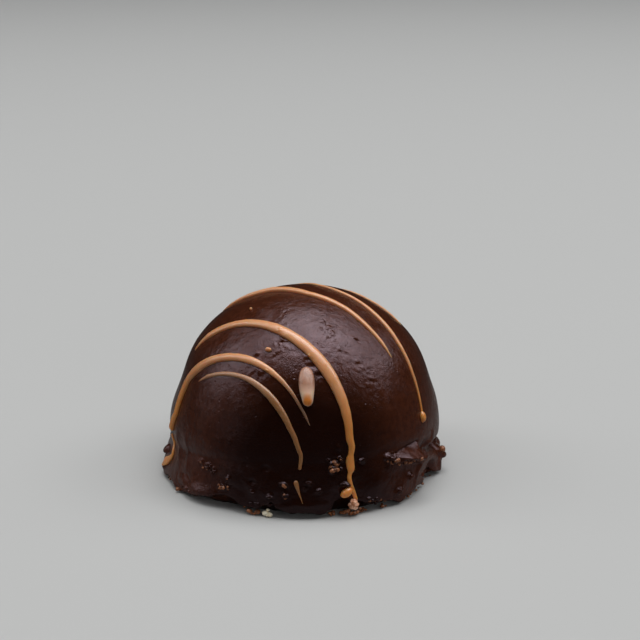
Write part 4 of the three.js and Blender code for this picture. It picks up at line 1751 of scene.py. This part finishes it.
@dataclass(frozen=True)
class Finish:
    """A food's surface: two mottled colours, a gloss that changes a little, and a fine grain.

    The low shading colour takes over downwards between its heights, and the front shading colour towards
    the front between its depths, both in millimetres. Both are painted light and shade: colour that stands
    in for how light, sheen and shade fall lower down and at the front.
    """

    name: str
    colour_a: Colour
    colour_b: Colour
    patch_size: float
    softness: float
    roughness: float
    roughness_change: float
    grain_size: float
    grain_height: float
    pit_size: float = 1.2
    pit_depth: float = 0.0
    pit_share: float = 0.1
    subsurface: float = 0.0
    ripple_size: float = 2.0
    ripple_height: float = 0.0
    glow_depth: float = 0.9
    # Painted light and shade: a colour mixed in lower down and one mixed in towards the front
    low_shading_colour: Colour | None = None
    low_shading_heights: tuple[float, float] = (0.0, 1.0)
    front_shading_colour: Colour | None = None
    front_shading_depths: tuple[float, float] = (0.0, 1.0)
    specular: float = 0.5
    specular_tint: Colour = (1.0, 1.0, 1.0)
    coat: float = 0.0
    coat_roughness: float = 0.3
    gloss_patch_size: float = 2.4
    gloss_range: tuple[float, float] = (0.3, 0.7)
    glow_spread: Triple = (1.0, 0.6, 0.35)

    def build(self, effects: SharedEffects) -> Material:
        """The material.

        Args:
            effects: The shared shader groups.

        Returns:
            A node-based material.
        """
        material = bpy.data.materials.new(self.name)
        material.use_nodes = True
        bench = NodeBench(material.node_tree)
        shader = material.node_tree.nodes["Principled BSDF"]
        place = bench.add("VectorMath", {0: bench.add("TexCoord").outputs["Object"], "Scale": 1 / MM},
                          operation="SCALE").outputs[0]
        mottle = bench.add("Group", {
            "Place": place, "Colour A": opaque(self.colour_a), "Colour B": opaque(self.colour_b),
            "Patch Size": self.patch_size, "Softness": self.softness,
        }, node_tree=effects.mottle)
        grain = bench.add("Group", {
            "Place": place, "Grain Size": self.grain_size, "Grain Height": self.grain_height,
            "Ripple Size": self.ripple_size, "Ripple Height": self.ripple_height,
            "Pit Size": self.pit_size, "Pit Depth": self.pit_depth, "Pit Share": self.pit_share,
        }, node_tree=effects.grain)
        colour = mottle.outputs["Colour"]
        # Painted light and shade: the low and front shading colours are mixed in by height and by depth
        for tint, axis, (full, none) in ((self.low_shading_colour, "Z", self.low_shading_heights),
                                         (self.front_shading_colour, "Y", self.front_shading_depths)):
            if tint:
                along = bench.add("SeparateXYZ", {"Vector": place}).outputs[axis]
                colour = bench.mix(bench.range(along, none, full), colour, opaque(tint))
        smooth, rough = self.roughness - self.roughness_change, self.roughness + self.roughness_change
        patches = bench.noise(place, self.gloss_patch_size, *SharedEffects.fine_noise)
        gloss = bench.range(patches, *self.gloss_range, smooth, rough)
        bump = bench.add("Bump", {"Strength": 1.0, "Distance": MM, "Height": grain.outputs["Height"]})
        for name, source in (("Base Color", colour), ("Roughness", gloss),
                             ("Normal", bump.outputs["Normal"])):
            bench.tree.links.new(source, shader.inputs[name])
        for name, value in (
            ("Specular IOR Level", self.specular), ("Specular Tint", opaque(self.specular_tint)),
            ("Coat Weight", self.coat), ("Coat Roughness", self.coat_roughness),
            ("Subsurface Weight", self.subsurface), ("Subsurface Radius", self.glow_spread),
            ("Subsurface Scale", self.glow_depth * MM),
        ):
            shader.inputs[name].default_value = value
        return material


# Painted shade: the chocolate darkens towards the front, where its front shading colour takes over
CHOCOLATE = Finish("dark_chocolate_glaze", (0.054, 0.0145, 0.0065), (0.076, 0.021, 0.0095), 1.6, 0.12,
                   0.18, 0.06, 0.32, 0.12, 1.3, 0.08, 0.16, ripple_size=1.7, ripple_height=0.17,
                   front_shading_colour=(0.016, 0.0045, 0.0021), front_shading_depths=(-36.5, -28.5), specular=0.55,
                   specular_tint=(1.0, 0.79, 0.93))
# Painted shade: the icing turns deeper orange lower down, in place of the shade and missing sheen there
CARAMEL = Finish("caramel_icing", (0.8, 0.375, 0.16), (0.85, 0.415, 0.185), 2.2, 0.2, 0.34, 0.05,
                 0.7, 0.03, subsurface=0.8, low_shading_colour=(0.8, 0.33, 0.08), low_shading_heights=(24.0, 35.0),
                 specular=0.85, coat=0.55, coat_roughness=0.34)
# Painted shade: this icing darkens towards the front, at the lower end of stroke 2
FRONT_SHADED_CARAMEL = replace(CARAMEL, name="front_shaded_caramel_icing", front_shading_colour=(0.27, 0.15, 0.09),
                           front_shading_depths=(-36.5, -31.2))
# Painted shade: the low and front shading colours darken this icing lower down and towards the front
THIN_CARAMEL = replace(CARAMEL, name="thin_caramel_icing", colour_a=(0.51, 0.26, 0.135),
                       colour_b=(0.58, 0.31, 0.165), low_shading_colour=(0.54, 0.25, 0.1), glow_depth=0.5,
                       front_shading_colour=(0.4, 0.185, 0.07), front_shading_depths=(-36.0, -31.5))
# Painted light: a pale pink band low on the drop stands in for a highlight, and the amber at its thick
# bottom for light glowing through it
DROP = Finish("clear_caramel_drop", (0.36, 0.175, 0.115), (0.56, 0.27, 0.165), 1.4, 0.28, 0.3, 0.05,
              0.5, 0.03, subsurface=0.4, glow_depth=0.6, low_shading_colour=(1.0, 0.68, 0.5),
              low_shading_heights=(34.6, 36.8), front_shading_colour=(1.0, 0.33, 0.06), front_shading_depths=(-37.0, -36.3),
              specular=0.6, coat=0.25)
BROWN_CRUMB = Finish("brown_biscuit_crumb", (0.1, 0.03, 0.012), (0.42, 0.155, 0.062), 0.6, 0.1, 0.34, 0.1,
                     0.3, 0.1, specular=0.7)
TAN_CRUMB = Finish("tan_biscuit_crumb", (0.48, 0.17, 0.07), (0.98, 0.6, 0.42), 0.8, 0.1, 0.6, 0.08,
                   0.3, 0.14)
PALE_CRUMB = Finish("pale_biscuit_crumb", (0.85, 0.72, 0.48), (1.0, 0.94, 0.76), 0.9, 0.14, 0.75, 0.08,
                    0.3, 0.1)


# ---- Studio ----


@dataclass(frozen=True)
class SoftBox:
    """A soft light: the direction it comes from, its distance, its size and its power."""

    name: str
    toward: Triple
    distance: float
    width: float
    depth: float
    power: float
    seen_in_gloss: bool = True

    def build(self, target: Vector) -> None:
        """Hangs the light and aims it.

        Args:
            target: What it shines at.
        """
        light = bpy.data.lights.new(self.name, "AREA")
        light.shape = "RECTANGLE"
        light.size, light.size_y = self.width, self.depth
        light.energy = self.power
        lamp = bpy.data.objects.new(self.name, light)
        toward = Vector(self.toward).normalized()
        lamp.location = target + toward * self.distance
        lamp.rotation_euler = toward.to_track_quat("Z", "Y").to_euler()
        lamp.visible_glossy = self.seen_in_gloss
        bpy.context.scene.collection.objects.link(lamp)


@dataclass(frozen=True)
class FloorTint:
    """A colour of the floor that fades outside a circle, to a share of itself far out."""

    colour: Colour
    middle: Triple
    radius: float
    edge: float
    far: float

    def build(self, bench: NodeBench, place: Socket) -> Socket:
        """The colour all over the floor.

        Args:
            bench: Bench of the floor's material.
            place: Place on the floor.

        Returns:
            The colour at each place.
        """
        away = bench.add("VectorMath", {0: place, 1: self.middle}, operation="DISTANCE").outputs[1]
        share = bench.range(away, self.radius + self.edge, self.radius)
        return bench.mix(share, opaque(tuple(self.far * c for c in self.colour)), opaque(self.colour))


@dataclass
class Studio:
    """The plain floor, the lights and the camera."""

    floor_size: float = 8.0
    floor_drop: float = 0.0001
    floor_roughness: float = 0.8
    floor_specular: float = 0.2
    floor_colour: Colour = (0.55, 0.555, 0.55)
    bounce: FloorTint = FloorTint((0.5, 0.5, 0.5), (0.0, 0.028, 0.0), 0.086, 0.03, 0.06)
    mirrored: FloorTint = FloorTint((0.2, 0.195, 0.19), (0.0, 0.036, 0.0), 0.074, 0.03, 0.12)
    world_colour: Colour = (0.003, 0.003, 0.0035)
    boxes: tuple[SoftBox, ...] = (
        SoftBox("top_light", (0.06, 0.1, 0.993), 3.0, 2.2, 2.2, 60.0),
        SoftBox("high_left_light", (-0.6, 0.02, 0.8), 3.0, 1.5, 1.7, 13.0),
        SoftBox("left_light", (-0.87, 0.12, 0.48), 3.0, 0.9, 1.4, 7.0),
        SoftBox("high_right_light", (0.62, -0.02, 0.785), 3.0, 1.4, 1.8, 20.0),
        SoftBox("right_light", (0.86, 0.08, 0.5), 3.0, 0.8, 1.0, 0.8),
        SoftBox("back_right_light", (0.72, 0.3, 0.63), 3.0, 0.8, 1.0, 3.8),
        SoftBox("low_left_light", (-0.9, -0.4, 0.13), 3.0, 1.2, 0.7, 0.8),
        SoftBox("front_fill", (0.25, -0.9, 0.36), 3.0, 2.2, 1.6, 11.0, False),
    )
    camera_place: Triple = (0.00461, -0.42075, 0.17069)
    camera_pitch: float = 73.3
    camera_lens: float = 84.66
    sensor: float = 36.0

    def build_floor(self) -> None:
        """A large pale floor, which throws back most light close to the cake."""
        mesh = bpy.data.meshes.new("floor")
        half = self.floor_size / 2
        corners = [(-half, -half, 0), (half, -half, 0), (half, half, 0), (-half, half, 0)]
        mesh.from_pydata(corners, [], [(0, 1, 2, 3)])
        floor = bpy.data.objects.new("floor", mesh)
        floor.location.z = -self.floor_drop
        bpy.context.scene.collection.objects.link(floor)
        material = bpy.data.materials.new("pale_floor")
        material.use_nodes = True
        bench = NodeBench(material.node_tree)
        shader = material.node_tree.nodes["Principled BSDF"]
        place = bench.add("TexCoord").outputs["Object"]
        bounce, mirrored = self.bounce.build(bench, place), self.mirrored.build(bench, place)
        path = bench.add("LightPath").outputs
        unseen = bench.mix(path["Is Glossy Ray"], bounce, mirrored)
        colour = bench.mix(path["Is Camera Ray"], unseen, opaque(self.floor_colour))
        bench.tree.links.new(colour, shader.inputs["Base Color"])
        shader.inputs["Roughness"].default_value = self.floor_roughness
        shader.inputs["Specular IOR Level"].default_value = self.floor_specular
        mesh.materials.append(material)
        floor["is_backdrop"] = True

    def build_camera(self) -> None:
        """A long lens in front of the cake, looking a little down."""
        camera = bpy.data.cameras.new("camera")
        camera.lens = self.camera_lens
        camera.sensor_width = self.sensor
        stand = bpy.data.objects.new("camera", camera)
        stand.location = self.camera_place
        stand.rotation_euler = (math.radians(self.camera_pitch), 0, 0)
        bpy.context.scene.collection.objects.link(stand)
        bpy.context.scene.camera = stand

    def build(self, target: Vector) -> None:
        """Sets up the whole studio.

        Args:
            target: What the lights shine at.
        """
        self.build_floor()
        self.build_camera()
        for box in self.boxes:
            box.build(target)
        world = bpy.data.worlds.new("studio")
        world.use_nodes = True
        background = world.node_tree.nodes["Background"]
        background.inputs["Color"].default_value = opaque(self.world_colour)
        bpy.context.scene.world = world
        bpy.context.scene.view_settings.view_transform = "Standard"


# ---- The whole model ----


def main() -> None:
    """Builds the cake's pieces and the studio."""
    logging.basicConfig(level=logging.INFO, format="%(name)s: %(message)s")
    solid_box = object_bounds()
    low, high = solid_box
    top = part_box("glazed_cake")[1].z / MM
    form = CoatingForm(centre_height=top - CoatingForm.radius)
    relief = Relief(form, coating_features())
    effects = SharedEffects()
    chocolate, caramel = CHOCOLATE.build(effects), CARAMEL.build(effects)
    brown, tan, pale = (finish.build(effects) for finish in (BROWN_CRUMB, TAN_CRUMB, PALE_CRUMB))
    CoatedCake(relief).build(chocolate)
    BiscuitDisc().build(brown)
    thin = THIN_CARAMEL.build(effects)
    own = {"icing_drop": DROP.build(effects), "icing_stroke_1": thin, "icing_dash": thin,
           "icing_stroke_2": FRONT_SHADED_CARAMEL.build(effects)}
    PipedIcing(relief).build(caramel, own)
    finishes = {"glaze": chocolate, "icing": caramel, "brown": brown, "tan": tan, "pale": pale}
    Crumbs(relief, finishes).build()
    Studio().build((low + high) / 2)


if __name__ == "__main__":
    main()
